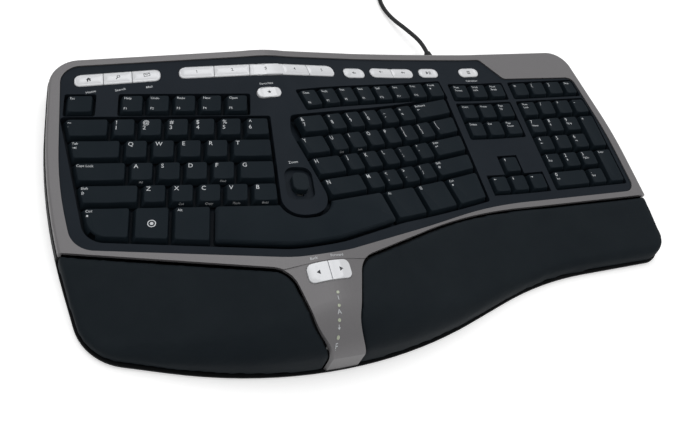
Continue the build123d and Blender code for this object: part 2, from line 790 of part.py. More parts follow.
def split_lines(spots, shares):
    """Where a bar is divided: a point and the bar's direction there."""
    line = [plan(*spot) for spot in spots]
    lengths = [math.dist(a, b) for a, b in zip(line, line[1:])]
    found = []
    for share in shares:
        run = share * sum(lengths)
        for (ax, ay), (bx, by), length in zip(line, line[1:], lengths):
            if run <= length:
                found.append((ax + (bx - ax) * run / length, ay + (by - ay) * run / length,
                              math.degrees(math.atan2(by - ay, bx - ax))))
                break
            run -= length
    return found


def split_bar(solid, group):
    """The bar's solid divided into its keys, sorted from left to right."""
    spots, depth, shares = hot_group_shares[group]
    for x, y, turn in split_lines(spots, shares):
        solid = solid - Pos(x, y, 0) * Rot(0, 0, turn) * Box(hot_key_split, 2 * depth, 4 * ridge_height)
    return sorted(solid.solids(), key=lambda s: s.center().X)


def hot_layer(group, face, top_drop, bottom_drop):
    """Slice of a prism between two depths below the face that a group of hot keys follows."""
    if group == "back_forward":
        upper = prism(face, 0, tall) & (Pos(0, 0, -top_drop) * palm_surface)
        return upper - Pos(0, 0, -bottom_drop) * palm_surface
    return wing_slice(face, deck_depth + top_drop, deck_depth + bottom_drop)


def is_hot_rim(edge, inner_face):
    """True for the edges round the top of a hot key, not for the seams across it."""
    spot = edge.center()
    top = wing_height(spot.X, spot.Y) - deck_depth + hot_key_proud
    return abs(spot.Z - top) < hot_key_round and not inner_face.is_inside(Vector(spot.X, spot.Y, 0))


def hot_keys(group):
    spots, depth, _ = hot_group_shares[group]
    flange_top = plate_thickness + hot_key_travel / 2
    flange_bottom = flange_top + hot_key_flange_thickness
    cap = hot_layer(group, bar_face(spots, depth, 0), -hot_key_proud, flange_top + small_gap)
    if group != "back_forward":
        inner_face = bar_face(spots, depth, -small_gap)
        cap = fillet(cap.edges().filter_by(lambda edge: is_hot_rim(edge, inner_face)), hot_key_round)
    cap = cap + hot_layer(group, bar_face(spots, depth, hot_key_flange), flange_top, flange_bottom)
    finished = []
    for key in split_bar(cap, group):
        x, y = key.center().X, key.center().Y
        surface = palm_height(x, y) if group == "back_forward" else wing_height(x, y) - deck_depth
        post_top = surface - flange_bottom + hot_key_flange_thickness / 2
        finished.append(key + upright(x, y, surface - hot_stem_depth, post_top, hot_key_stem_radius))
    return finished


def switch_trays():
    """A tray under each group of hot keys that carries their switches."""
    trays = []
    for group, (spots, depth, _) in hot_group_shares.items():
        inner = hot_key_flange + 2 * joint_gap
        outer_face = bar_face(spots, depth, inner + switch_strip_thickness)
        tray = hot_layer(group, outer_face, plate_thickness + small_gap, switch_depth + switch_strip_thickness)
        tray = tray - hot_layer(group, bar_face(spots, depth, inner), 0, switch_depth)
        tray = tray - prism(arc_well(well_wall + joint_gap), 0, tall)
        trays.append(tray)
    return trays


def hot_slots(extra):
    """Faces of the openings for the hot keys in the deck."""
    return [bar_face(spots, depth, hot_key_gap + extra)
            for group, (spots, depth, _) in hot_group_shares.items() if group != "back_forward"]


# Palm rest

def front_crossing(x):
    """Y of the casing's front outline at a place across, without its corners."""
    corners = [plan(a, b) for a, b, _ in case_shares[2:6]]
    radii = [r * key_pitch for _, _, r in case_shares[3:5]]
    return rounded_height(corners, radii, x)


def palm_height(x, y):
    corners = wing_corners(palm_left_height, palm_ridge_height, palm_flat_height, 0)
    return rounded_height(corners, [ridge_round, valley_round], x) + palm_slope_share * y


palm_station_shares = [-14.2, -12.6, -11.2, -9.8, -8.4, -7.2, -6.2, -5.4, -5.0, -4.7, -4.5, -4.3, -4.1, -3.9,
                       -3.7, -3.5, -3.2, -2.8, -2.0, -1.0, 0.2, 1.6, 3.0, 4.2, 5.4, 6.6, 7.8, 9.2, 10.8,
                       12.4, 14.2]


def palm_body(inset, base):
    """Rounded bar from the key field to the front edge, drawn in by a distance."""
    sections = []
    for share in palm_station_shares:
        x = share * key_pitch
        front = front_crossing(x) + inset
        top = max(palm_height(x, front) - inset, palm_base + palm_least)
        back_top = max(palm_height(x, 0) - inset, top + palm_least)
        nose = palm_nose_share * (top - palm_base)
        points = [(front, base), (0, base), (0, back_top), (front, top)]
        sections.append(Face(rounded_wire(points, [0, 0, 0, nose], lambda y, z: (x, y, z))))
    return loft(sections, ruled=True)


palm_surface = palm_body(0, palm_base)
palm_corner_shares = [(-14.3, -0.82), (-14.3, -8.42), (14.3, -8.42), (14.3, -1.59), (3.61, -1.59), (-2.79, -3.81),
                      (-5.37, -3.9)]
palm_corners = [plan(*spot) for spot in palm_corner_shares]
tongue_back_share = -3.85
tongue_back = tongue_back_share * key_pitch
frame_zone_shares = (-6.2, -2.0, -4.9)     # left, right and back of the frame under the tongue


def rectangle(low_x, low_y, high_x, high_y):
    return polygon_face([(low_x, low_y), (high_x, low_y), (high_x, high_y), (low_x, high_y)])


front_of_tongue_back = rectangle(-wing_end_x, -field_depth, wing_end_x, tongue_back)
pad_faces = {"left": share_face(left_pad_shares), "right": share_face(right_pad_shares)}
pad_holes = [share_face(shares, -joint_gap) for shares in (left_pad_shares, right_pad_shares)]
zone_left, zone_right, zone_back = (share * key_pitch for share in frame_zone_shares)
frame_zone = rectangle(zone_left, -field_depth, zone_right, zone_back)


def palm_rest_frame():
    """Hollow carrier under both pads, joined in front of the two keys on the tongue."""
    face = (pad_faces["left"] + pad_faces["right"] + frame_zone) & share_face(case_shares, pad_thickness)
    outer = prism(face, palm_base, tall) & palm_body(pad_thickness, palm_base)
    inner_face = offset(face, -palm_frame_wall, kind=Kind.INTERSECTION)
    depth = pad_thickness + palm_frame_wall
    inner = prism(inner_face, palm_base - overrun, tall) & palm_body(depth, palm_base - overrun)
    frame = outer - inner
    for x, y in palm_screw_places:
        column = Pos(x, y, palm_base) * extrude(Circle(pillar_radius), tall, dir=(0, 0, 1))
        frame = frame + (column & palm_body(depth - small_gap, palm_base))
        frame = frame - Pos(x, y, palm_base) * extrude(Circle(screw_shank_radius), screw_length, dir=(0, 0, 1))
    return outer, frame


def palm_pad(side, frame_block):
    """Cushion over the frame, drawn in towards its top in soft steps."""
    layers = []
    for inset_share, drop_share in soft_edge_shares:
        inset = inset_share * pad_edge_round
        face = share_face(pad_shares[side], inset) & share_face(case_shares, joint_gap + inset)
        column = prism(face, palm_base, tall)
        layers.append((column & palm_body(drop_share * pad_edge_round, palm_base)) - frame_block)
    return joined(layers)


pad_shares = {"left": left_pad_shares, "right": right_pad_shares}
palm_screw_shares = [(-9.5, -4.4), (-4.08, -6.2), (3.4, -3.4), (9.8, -3.2)]
palm_screw_places = [plan(*spot) for spot in palm_screw_shares]


# Screws, pillars and feet

deck_screw_shares = [(-7.37, 4.99), (-4.26, 2.95), (5.63, 1.26), (7.9, 1.26)]
left_screw_share = (0.8, 4.12)
bezel_screw_shares = [(10.5, 6.3), (9.2, 6.3)]
deck_screw_places = [left_place(*left_screw_share)] + [plan(*spot) for spot in deck_screw_shares]
bezel_screw_places = [plan(*spot) for spot in bezel_screw_shares]
pillar_place_shares = [(-11.6, 1.0), (-8.2, -0.4), (-7.6, 2.6), (-4.3, 0.4), (-1.5, 2.2), (-1.0, -0.4), (2.2, 1.0),
                       (1.5, 3.6), (8.8, 0.2), (11.8, 0.2), (8.8, 3.0), (11.8, 3.0)]
foot_place_shares = [(-12.0, -4.4), (-5.1, -6.4), (12.3, -3.4), (-11.7, 6.7), (-4.0, 5.2), (11.9, 6.5)]


def screw_seat_height(x, y):
    return wing_height(x, y) - pillar_depth - screw_seat


def screw(x, y, seat):
    head = upright(x, y, seat - screw_head_height, seat, screw_head_radius)
    return head + upright(x, y, seat - small_gap, seat + screw_length, screw_shank_radius)


palm_seat = foot_height + screw_head_height


def case_screws():
    high_places = deck_screw_places + bezel_screw_places
    high_screws = [screw(x, y, screw_seat_height(x, y)) for x, y in high_places]
    return high_screws + [screw(x, y, palm_seat) for x, y in palm_screw_places]


def rubber_feet():
    return [upright(*plan(*spot), 0, foot_height + rubber_foot_seat, rubber_foot_radius) for spot in foot_place_shares]


# Slider

slider_place_share = (-4.32, -0.42)
slider_x, slider_y = plan(*slider_place_share)
slider_surface = wing_height(slider_x, slider_y) - deck_depth
recess_floor = slider_surface - recess_depth


def slider_box(length, width, rounding, low, high):
    block = extrude(RectangleRounded(width, length, rounding), high - low, dir=(0, 0, 1))
    return Pos(slider_x, slider_y, low) * Rot(0, 0, slider_turn) * block


def slider_housing():
    wall = 2 * slider_housing_wall
    low = recess_floor - slider_floor
    rounding = recess_round + slider_housing_wall
    shell = slider_box(recess_length + wall, recess_width + wall, rounding, low, slider_surface)
    shell = shell & under_wing(deck_depth + plate_thickness + small_gap)
    shell = shell - slider_box(recess_length, recess_width, recess_round, recess_floor, tall)
    slot_length = slider_post_length + 2 * slider_travel + 2 * layer_gap
    slot_width = slider_post_width + 2 * layer_gap
    return shell - slider_box(slot_length, slot_width, small_gap, low - overrun, tall)


def zoom_slider():
    knob = slider_box(knob_length, knob_width, knob_round, recess_floor + layer_gap, slider_surface + knob_proud)
    knob = fillet(knob.faces().sort_by(Axis.Z)[-1].edges(), knob_edge)
    flange_top = recess_floor - slider_floor - layer_gap
    post = slider_box(slider_post_length, slider_post_width, small_gap, flange_top - small_gap, slider_surface)
    flange_length = slider_post_length + 2 * slider_flange
    flange_width = slider_post_width + 4 * slider_flange
    flange = slider_box(flange_length, flange_width, small_gap, flange_top - slider_flange, flange_top)
    return knob + post + flange


# Deck, sheets and plate

chimney_radius = stem_radius + stem_clearance + chimney_wall
sheet_face = share_face(deck_shares, sheet_inset)
dome_base_depth = dome_under_depth - dome_thickness


def key_deck():
    deck = wing_slice(deck_face, deck_depth, deck_under_depth)
    floor_limit = under_wing(deck_floor_depth)
    wells = [prism(face, 0, tall) - floor_limit for face in well_faces(0)]
    pocket = prism(share_face(deck_shares, case_wall), 0, tall) & under_wing(deck_depth + plate_thickness)
    pocket = pocket.cut(*[prism(face, 0, tall) for face in well_faces(well_wall)])
    slots = [prism(face, 0, tall) for face in hot_slots(0)]
    slots.append(slider_box(recess_length, recess_width, recess_round, 0, tall))
    deck = deck.cut(*wells, *pocket.solids(), *slots)
    added = bar_slices(stem_places, chimney_radius, deck_floor_depth - chimney_height, deck_under_depth - small_gap)
    added += bar_slices(deck_screw_places, boss_radius, deck_depth + plate_thickness / 2, dome_base_depth - layer_gap)
    holes = [upright(x, y, 0, tall, stem_radius + stem_clearance) for x, y in stem_places]
    for x, y in deck_screw_places:
        hole_top = wing_height(x, y) - deck_depth - plate_thickness - small_gap
        holes.append(upright(x, y, 0, hole_top, screw_shank_radius + small_gap))
    return deck.fuse(*added).cut(*holes)


def sheet(top_drop, bottom_drop):
    radius = screw_shank_radius + stem_clearance
    holes = [upright(x, y, 0, tall, radius) for x, y in deck_screw_places]
    return wing_slice(sheet_face, top_drop, bottom_drop).cut(*holes)


def dome_sheet():
    base = sheet(dome_base_depth, dome_under_depth)
    rings = bar_slices(stem_places, dome_radius, dome_base_depth - dome_skirt_height, dome_under_depth - small_gap)
    bores = [upright(x, y, 0, tall, stem_radius + 2 * stem_clearance) for x, y in stem_places]
    return base.fuse(*rings).cut(*bores)


# Top case

def is_upper_rim(edge):
    """True for the edges round the top face, not for the seams across it."""
    spot = edge.center()
    level = abs(spot.Z - wing_height(spot.X, spot.Y) + bezel_depth) < bezel_round
    return level and (abs(spot.X) > wing_end_x - 2 * key_pitch or abs(spot.Y) > 2 * key_pitch)


def top_case():
    outer_face = share_face(case_shares, bezel_inset)
    block = prism(outer_face, 0, tall) & under_wing(bezel_depth)
    block = fillet(block.edges().filter_by(is_upper_rim), bezel_round)
    plate = block - under_wing(bezel_depth + bezel_wall)
    skirt = block - prism(share_face(case_shares, bezel_inset + bezel_wall), 0, tall)
    skirt = skirt - under_wing(case_rim_depth - joint_gap)
    shell = plate + skirt
    cutters = [prism(share_face(deck_shares, -joint_gap), 0, tall), prism(front_of_tongue_back, 0, tall)]
    cutters += [prism(face, 0, tall) for face in pad_holes]
    shell = shell.cut(*cutters)
    tongue = prism(outer_face & front_of_tongue_back, palm_base, tall).cut(*cutters[2:])
    tongue = (tongue & palm_surface) - palm_body(tongue_thickness, palm_base - overrun)
    spots, depth, _ = hot_group_shares["back_forward"]
    tongue = tongue - prism(bar_face(spots, depth, hot_key_gap), 0, tall)
    tongue = tongue.cut(*[upright(x, y, 0, tall, lamp_radius + small_gap) for x, y in lamp_places])
    shell = shell.solids().sort_by(SortBy.VOLUME)[-1] + tongue.solids().sort_by(SortBy.VOLUME)[-1]
    bosses = bar_slices(bezel_screw_places, boss_radius, bezel_depth + bezel_wall / 2, pillar_depth)
    shell = shell.fuse(*bosses)
    for x, y in bezel_screw_places:
        hole_top = screw_seat_height(x, y) + screw_length + joint_gap
        shell = shell - upright(x, y, 0, hole_top, screw_shank_radius + small_gap)
    return shell


# Lamps on the tongue

lamp_place_shares = [(-4.2, -5.15), (-4.285, -5.65), (-4.37, -6.14), (-4.45, -6.63)]
lamp_places = [plan(*spot) for spot in lamp_place_shares]
lamp_board_drop = tongue_thickness + joint_gap


def lamp_board_face():
    (ax, ay), (bx, by) = lamp_places[0], lamp_places[-1]
    turn = math.degrees(math.atan2(by - ay, bx - ax))
    board = Rot(0, 0, turn) * Rectangle(lamp_board_length, lamp_board_width)
    return (Pos((ax + bx) / 2, (ay + by) / 2, 0) * board).face()


def indicator_board():
    low_drop = lamp_board_drop + 2 * joint_gap + lamp_board_thickness
    column = prism(lamp_board_face(), palm_base + overrun, tall)
    board = column & palm_body(lamp_board_drop + 2 * joint_gap, palm_base)
    return board - palm_body(low_drop, palm_base - overrun)


def indicator_lenses():
    lenses = []
    for x, y in lamp_places:
        lens = upright(x, y, palm_base, tall, lamp_radius) & (Pos(0, 0, lamp_proud) * palm_surface)
        lenses.append(lens - palm_body(lamp_board_drop + joint_gap, palm_base - overrun))
    return lenses


# Bottom case

leg_axis_height = foot_height + leg_thickness / 2 + joint_gap
leg_reach = leg_length - leg_thickness / 2


def rear_leg(name):
    """Flat leg folded forward, with a pin on each side at its hinge."""
    x, y = plan(*leg_place_shares[name])
    half = leg_thickness / 2
    points = [(-leg_reach, -half), (half, -half), (half, half), (-leg_reach, half)]
    rounding = half - small_gap
    start_x = x - leg_width / 2
    wire = rounded_wire(points, [leg_edge_round, rounding, rounding, leg_edge_round],
                        lambda run, rise: (start_x, y + run, leg_axis_height + rise))
    plate = extrude(Face(wire), leg_width, dir=(1, 0, 0))
    pin = Rot(0, 90, 0) * Cylinder(leg_pin_radius, leg_width + 2 * leg_pin_length)
    return plate + Pos(x, y, leg_axis_height) * pin


def leg_pocket_box(name, wall, high_extra):
    x, y = plan(*leg_place_shares[name])
    low_y = y - leg_reach - 2 * leg_gap - wall
    high_y = y + leg_thickness / 2 + leg_gap + wall
    half = leg_width / 2 + leg_gap + wall
    top = leg_axis_height + leg_thickness / 2 + leg_gap + high_extra
    return prism(rectangle(x - half, low_y, x + half, high_y), foot_height, top)


exit_share = 5.55
exit_x = exit_share * key_pitch
exit_y = case_shares[7][1] * key_pitch


def along_y(x, y, z, length, radius, end_radius=None):
    """Round bar or cone that runs to the back from a place."""
    tool = Cylinder(radius, length) if end_radius is None else Cone(radius, end_radius, length)
    return Pos(x, y + length / 2, z) * Rot(-90, 0, 0) * tool


def bottom_case():
    block = prism(case_face, foot_height, tall) & under_wing(case_rim_depth)
    lower_loop = block.faces().sort_by(Axis.Z)[0].edges()
    block = chamfer(lower_loop, bottom_edge)
    palm_zone = prism(inset_face(palm_corners, [0] * len(palm_corners), -joint_gap), palm_rim_height, tall)
    cavity = prism(share_face(case_shares, case_wall), floor_top, tall)
    case = block - palm_zone - cavity
    high_places = deck_screw_places + bezel_screw_places
    bars = bar_slices(high_places, screw_pillar_radius, pillar_depth + small_gap)
    bars += bar_slices([plan(*spot) for spot in pillar_place_shares], pillar_radius, pillar_depth)
    low_block = prism(case_face, 0, floor_top - small_gap)
    added = [bar - low_block for bar in bars]
    cut_away = []
    for x, y in high_places:
        seat = screw_seat_height(x, y)
        cut_away.append(upright(x, y, 0, seat, screw_head_radius + joint_gap))
        cut_away.append(upright(x, y, 0, tall, screw_shank_radius + small_gap))
    for x, y in palm_screw_places:
        added.append(upright(x, y, floor_top - small_gap, palm_rim_height, screw_pillar_radius))
        cut_away.append(upright(x, y, 0, palm_seat, screw_head_radius + joint_gap))
        cut_away.append(upright(x, y, 0, tall, screw_shank_radius + small_gap))
    for spot in foot_place_shares:
        cut_away.append(upright(*plan(*spot), 0, foot_height + rubber_foot_seat, rubber_foot_radius))
    for name in leg_place_shares:
        x, y = plan(*leg_place_shares[name])
        added.append(leg_pocket_box(name, leg_pocket_wall, case_wall))
        cut_away.append(leg_pocket_box(name, 0, 0))
        pin_hole = Cylinder(leg_pin_radius + leg_pin_clearance, leg_width + 2 * leg_pin_length + 2 * leg_gap)
        cut_away.append(Pos(x, y, leg_axis_height) * Rot(0, 90, 0) * pin_hole)
    cut_away.append(along_y(exit_x, exit_y - overrun, cord_exit_height, 2 * overrun, relief_neck_radius + small_gap))
    return case.fuse(*added).cut(*cut_away)


board_place_share = (4.9, 5.5)
chip_shares = [(-0.9, -0.4, 1.0), (0.9, -0.3, 0.8), (0.1, 0.5, 0.6)]   # X, Y and size


def controller_board():
    x, y = plan(*board_place_share)
    low = floor_top + board_lift
    board = Pos(x, y, low + board_thickness / 2) * Box(board_length, board_depth, board_thickness)
    for x_share, y_share, size_share in chip_shares:
        size = chip_size * size_share
        top = low + board_thickness + chip_height / 2
        spot_x, spot_y = plan(x_share, y_share)
        board = board + Pos(x + spot_x, y + spot_y, top) * Box(size, size, chip_height + small_gap)
    return board


# Cord

def strain_relief():
    wall_in = exit_y - case_wall - joint_gap
    flange = along_y(exit_x, wall_in - relief_flange_thickness, cord_exit_height, relief_flange_thickness,
                     relief_flange_radius)
    neck = along_y(exit_x, wall_in - small_gap, cord_exit_height, case_wall + 2 * joint_gap, relief_neck_radius)
    cone = along_y(exit_x, exit_y + small_gap, cord_exit_height, relief_length - small_gap, relief_radius,
                   relief_tip_radius)
    return flange + neck + cone


coil_centre = plan(*coil_centre_shares)
coil_low = cord_radius + tie_thickness + tie_clearance
coil_half_width = coil_turns * coil_step / 2
coil_outer = coil_middle_radius + coil_half_width
plug_axis_height = plug_rest + plug_height / 2


def smooth_share(share):
    share = min(max(share, 0), 1)
    return share * share * (3 - 2 * share)


drop_start_share = 0.3     # after the last turn, in quarter turns: where the cord starts to drop to the plug
drop_run_share = 1.2


def coil_spot(angle):
    """Point on the middle line of the coil after an angle in radians."""
    layer_angle = coil_turns * 2 * math.pi
    total = coil_layers * layer_angle
    inside = min(angle, total)
    phase = inside / layer_angle
    nearest = abs(phase - 2 * round(phase / 2))
    radius = coil_outer - nearest * 2 * coil_half_width
    rise = 0
    for layer in range(1, coil_layers):
        rise += smooth_share((inside - layer * layer_angle + math.pi / 2) / math.pi)
    height = coil_low + rise * coil_layer_rise
    beyond = (angle - total) / (math.pi / 2)
    radius += coil_outer_gap * smooth_share(beyond)
    height += (plug_axis_height - height) * smooth_share((beyond - drop_start_share) / drop_run_share)
    return Vector(coil_centre[0] + radius * math.cos(angle), coil_centre[1] + radius * math.sin(angle), height)


def biarc(start, start_dir, end, end_dir):
    """Two tangent arcs from one point and direction to another."""
    run = end - start
    both = start_dir + end_dir
    spread = 2 * (1 - start_dir.dot(end_dir))
    along = run.dot(both)
    reach = (-along + math.sqrt(along * along + spread * run.dot(run))) / spread
    joint = (start + start_dir * reach + end - end_dir * reach) * 0.5
    first = Edge.make_tangent_arc(start, start_dir, joint)
    second = Edge.make_tangent_arc(joint, first.tangent_at(1), end)
    return [first, second]


def coil_path():
    """Middle line of the coil: straight ends of one cord diameter, arcs between."""
    last_angle = coil_layers * coil_turns * 2 * math.pi + 0.75 * math.pi
    count = round(last_angle / (math.pi / 4))
    angles = [last_angle * i / count for i in range(count + 1)]
    step = 0.001
    points = [coil_spot(angle) for angle in angles]
    directions = []
    for angle in angles:
        directions.append((coil_spot(angle + step) - coil_spot(angle - step)).normalized())
    directions[0] = Vector(0, 1, 0)
    directions[-1] = Vector(-math.sin(last_angle), math.cos(last_angle), 0)
    edges = [Edge.make_line(points[0] - directions[0] * 2 * cord_radius, points[0])]
    for i in range(count):
        edges += biarc(points[i], directions[i], points[i + 1], directions[i + 1])
    tail_end = points[-1] + directions[-1] * 2 * cord_radius
    edges.append(Edge.make_line(points[-1], tail_end))
    return Wire(edges), tail_end, directions[-1]


def tube(path):
    start = path @ 0
    section = Plane(start, z_dir=path % 0) * Circle(cord_radius)
    return sweep(section, path=path)


route_shares = [(5.12, 9.66, 0.5), (4.72, 10.7, 0.24), (4.55, 11.66, 0.125), (4.66, 12.6, 0.13)]


def cord_route():
    relief_tip = (exit_x, exit_y + relief_length, cord_exit_height)
    straight = 6 * cord_radius
    coil_start = (coil_centre[0] + coil_outer, coil_centre[1] - 2 * cord_radius, coil_low)
    points = [relief_tip, (exit_x, relief_tip[1] + straight, cord_exit_height)]
    points += [(x * key_pitch, y * key_pitch, z * key_pitch) for x, y, z in route_shares]
    points += [(coil_start[0], coil_start[1] - straight, coil_low), coil_start]
    return [Vector(*point) for point in points]


route_arc_share = 0.45


def route_radii(points):
    radii = []
    for before, corner, after in zip(points, points[1:], points[2:]):
        first = corner - before
        second = after - corner
        turn = math.radians(first.get_angle(second))
        radii.append(route_arc_share * min(first.length, second.length) / math.tan(turn / 2))
    return radii


def usb_plug(end, direction):
    turn = math.degrees(math.atan2(direction.Y, direction.X))
    body = Box(plug_length, plug_width, plug_height)
    body = fillet(body.edges(), plug_round)
    core_length = plug_shell_length - joint_gap
    core = Box(core_length, plug_shell_width - 4 * plug_shell_wall, plug_shell_height / 2 - plug_shell_wall)
    core = Pos((plug_length + core_length) / 2 - small_gap, 0, 0) * core
    place = Pos(end.X, end.Y, end.Z) * Rot(0, 0, turn) * Pos(plug_length / 2, 0, 0)
    shell = Box(plug_shell_length, plug_shell_width, plug_shell_height)
    wall = 2 * plug_shell_wall
    shell = shell - Box(plug_shell_length + overrun, plug_shell_width - wall, plug_shell_height - wall)
    shell = Pos((plug_length + plug_shell_length) / 2, 0, 0) * shell
    return place * (body + core), place * shell


tie_turn = 240.0           # degrees round the coil from +X


def cable_tie():
    """Band round the bundle of turns on one side of the coil."""
    reach = coil_half_width + cord_radius + tie_clearance
    bundle_height = (coil_layers - 1) * coil_layer_rise + 2 * (cord_radius + tie_clearance)
    outer = Box(2 * (reach + tie_thickness), tie_width, bundle_height + 2 * tie_thickness)
    outer = fillet(outer.edges().filter_by(Axis.Y), tie_thickness)
    band = outer - Box(2 * reach, tie_width + overrun, bundle_height)
    height = coil_low + (coil_layers - 1) * coil_layer_rise / 2
    place = Pos(coil_centre[0], coil_centre[1], height) * Rot(0, 0, tie_turn) * Pos(coil_middle_radius, 0, 0)
    return place * band


def gap_to_itself(path):
    """Least clear distance between strands of the coil, measured on points along it."""
    count = round(path.length / cord_radius)
    spots = [path @ (i / count) for i in range(count + 1)]
    skipped = round(4 * math.pi * cord_radius / cord_radius)
    least = tall
    for i, spot in enumerate(spots):
        for other in spots[i + skipped:]:
            least = min(least, (spot - other).length)
    return least - 2 * cord_radius


def all_pieces():
    """Every node: its name and the list of its solids."""
    frame_block, frame = palm_rest_frame()
    coil_line, coil_end, coil_direction = coil_path()
    route = cord_route()
    radii = route_radii(route)
    run_line = FilletPolyline(*route, radius=radii)
    plug, shell = usb_plug(coil_end, coil_direction)
    coil = tube(coil_line)
    run = tube(run_line)
    section_area = math.pi * cord_radius ** 2
    print("cord radii", [round(radius, 1) for radius in radii])
    print("cord lengths", round(run_line.length), round(coil_line.length))
    print("cord volumes against section times length", run.volume / run_line.length / section_area,
          coil.volume / coil_line.length / section_area)
    print("least gap of the coil to itself", round(gap_to_itself(coil_line), 3))
    pieces = {
        "bottom_case": [bottom_case()],
        "top_case": [top_case()],
        "key_deck": [key_deck()],
        "palm_rest_frame": [frame],
        "palm_pad_left": [palm_pad("left", frame_block)],
        "palm_pad_right": [palm_pad("right", frame_block)],
        "dome_sheet": [dome_sheet()],
        "contact_sheet": [sheet(contact_depth, contact_depth + contact_thickness)],
        "backing_plate": [sheet(backing_depth, backing_depth + backing_thickness)],
        "controller_board": [controller_board()],
        "switch_trays": switch_trays(),
        "indicator_board": [indicator_board()],
        "indicator_lenses": indicator_lenses(),
        "case_screws": case_screws(),
        "rubber_feet": rubber_feet(),
        "slider_housing": [slider_housing()],
        "strain_relief": [strain_relief()],
        "cable_run": [run],
        "cable_coil": [coil],
        "usb_plug": [plug],
        "usb_shell": [shell],
        "cable_tie": [cable_tie()],
        "space_bar": [space_bar()],
        "zoom_slider": [zoom_slider()],
    }
    for name in key_cells:
        pieces[name] = key_row(name)
    for group, names in hot_names.items():
        for name, key in zip(names, hot_keys(group)):
            pieces[name] = [key]
    for name in leg_place_shares:
        pieces[name] = [rear_leg(name)]
    return pieces


if __name__ == "__main__":
    os.makedirs("parts", exist_ok=True)
    nodes = all_pieces()
    box = Compound(nodes["bottom_case"]).bounding_box()
    shift = Pos(-(box.min.X + box.max.X) / 2, -(box.min.Y + box.max.Y) / 2, 0)
    print("moved by", -(box.min.X + box.max.X) / 2, -(box.min.Y + box.max.Y) / 2)
    for name, solids in nodes.items():
        placed = [shift * solid for piece in solids for solid in piece.solids()]
        sound = all(solid.is_valid for solid in placed)
        print(name, len(placed), round(sum(solid.volume for solid in placed)), "" if sound else "NOT SOUND")
        export_step(Compound(placed), f"parts/{name}.step")
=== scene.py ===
import bmesh
import bpy
import json
import math
from mathutils import Matrix, Vector
from mathutils.bvhtree import BVHTree


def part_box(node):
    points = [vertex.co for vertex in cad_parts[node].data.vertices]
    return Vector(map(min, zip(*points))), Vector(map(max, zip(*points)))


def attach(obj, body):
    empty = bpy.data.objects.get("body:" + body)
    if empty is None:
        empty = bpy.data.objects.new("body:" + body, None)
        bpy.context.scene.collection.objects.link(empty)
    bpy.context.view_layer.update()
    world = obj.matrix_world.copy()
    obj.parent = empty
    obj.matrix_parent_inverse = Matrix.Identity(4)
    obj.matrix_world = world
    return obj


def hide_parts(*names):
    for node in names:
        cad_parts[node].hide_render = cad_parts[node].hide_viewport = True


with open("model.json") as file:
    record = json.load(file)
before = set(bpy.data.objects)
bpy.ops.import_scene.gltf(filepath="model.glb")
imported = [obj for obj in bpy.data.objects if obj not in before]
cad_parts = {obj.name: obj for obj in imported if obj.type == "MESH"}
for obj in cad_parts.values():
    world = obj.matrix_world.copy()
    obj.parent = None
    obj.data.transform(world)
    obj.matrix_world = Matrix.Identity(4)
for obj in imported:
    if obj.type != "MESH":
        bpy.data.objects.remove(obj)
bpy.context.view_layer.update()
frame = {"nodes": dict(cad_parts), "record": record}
nodes = frame["nodes"]
scene = bpy.context.scene
mm = 0.001
keyPitch = 19 * mm
origin = Vector((-0.0252 * mm, -2.2597 * mm, 0))   # from the key grid's zero to the middle of the casing
print("frame loaded,", len(nodes), "nodes")


# Camera

camera = {
    "place": (-0.3440, -0.3682, 0.60055),
    "turn": -41.646,      # degrees round Z, zero looks along +Y
    "tilt": 51.034,       # degrees above the horizon
    "roll": 28.812,
    "lens": 49.4355,
    "sensor": 36.0,
}


def makeCamera(values):
    turn, tilt, roll = (math.radians(values[name]) for name in ("turn", "tilt", "roll"))
    back = Vector((math.sin(turn) * math.cos(tilt), -math.cos(turn) * math.cos(tilt), math.sin(tilt)))
    right = (-back).cross(Vector((0, 0, 1))).normalized()
    up = right.cross(-back)
    xAxis = right * math.cos(roll) + up * math.sin(roll)
    yAxis = -right * math.sin(roll) + up * math.cos(roll)
    turned = Matrix((xAxis, yAxis, back)).transposed().to_4x4()
    data = bpy.data.cameras.new("camera")
    data.lens = values["lens"]
    data.sensor_width = values["sensor"]
    data.clip_start = 0.01
    made = bpy.data.objects.new("camera", data)
    made.matrix_world = Matrix.Translation(values["place"]) @ turned
    scene.collection.objects.link(made)
    scene.camera = made


makeCamera(camera)


# Node helpers for materials

def shaderTree(name):
    material = bpy.data.materials.new(name)
    material.use_nodes = True
    tree = material.node_tree
    return material, tree, tree.nodes["Principled BSDF"]


def addNode(tree, kind, **inputs):
    node = tree.nodes.new(kind)
    for key, value in inputs.items():
        node.inputs[key.replace("_", " ")].default_value = value
    return node


def objectCoords(tree):
    return tree.nodes.new("ShaderNodeTexCoord").outputs["Object"]


def addBump(tree, shader, height, strength, distance, below=None):
    bump = addNode(tree, "ShaderNodeBump", Strength=strength, Distance=distance)
    tree.links.new(height, bump.inputs["Height"])
    if below is not None:
        tree.links.new(below, bump.inputs["Normal"])
    tree.links.new(bump.outputs["Normal"], shader.inputs["Normal"])
    return bump.outputs["Normal"]


def spread(tree, value, low, high):
    """Maps a texture value to a range."""
    mapped = addNode(tree, "ShaderNodeMapRange", To_Min=low, To_Max=high)
    tree.links.new(value, mapped.inputs["Value"])
    return mapped.outputs["Result"]


def twoTone(tree, value, first, second, low=0.3, high=0.7):
    ramp = tree.nodes.new("ShaderNodeValToRGB")
    ramp.color_ramp.elements[0].position = low
    ramp.color_ramp.elements[1].position = high
    ramp.color_ramp.elements[0].color = (*first, 1)
    ramp.color_ramp.elements[1].color = (*second, 1)
    tree.links.new(value, ramp.inputs["Fac"])
    return ramp.outputs["Color"]


# Materials

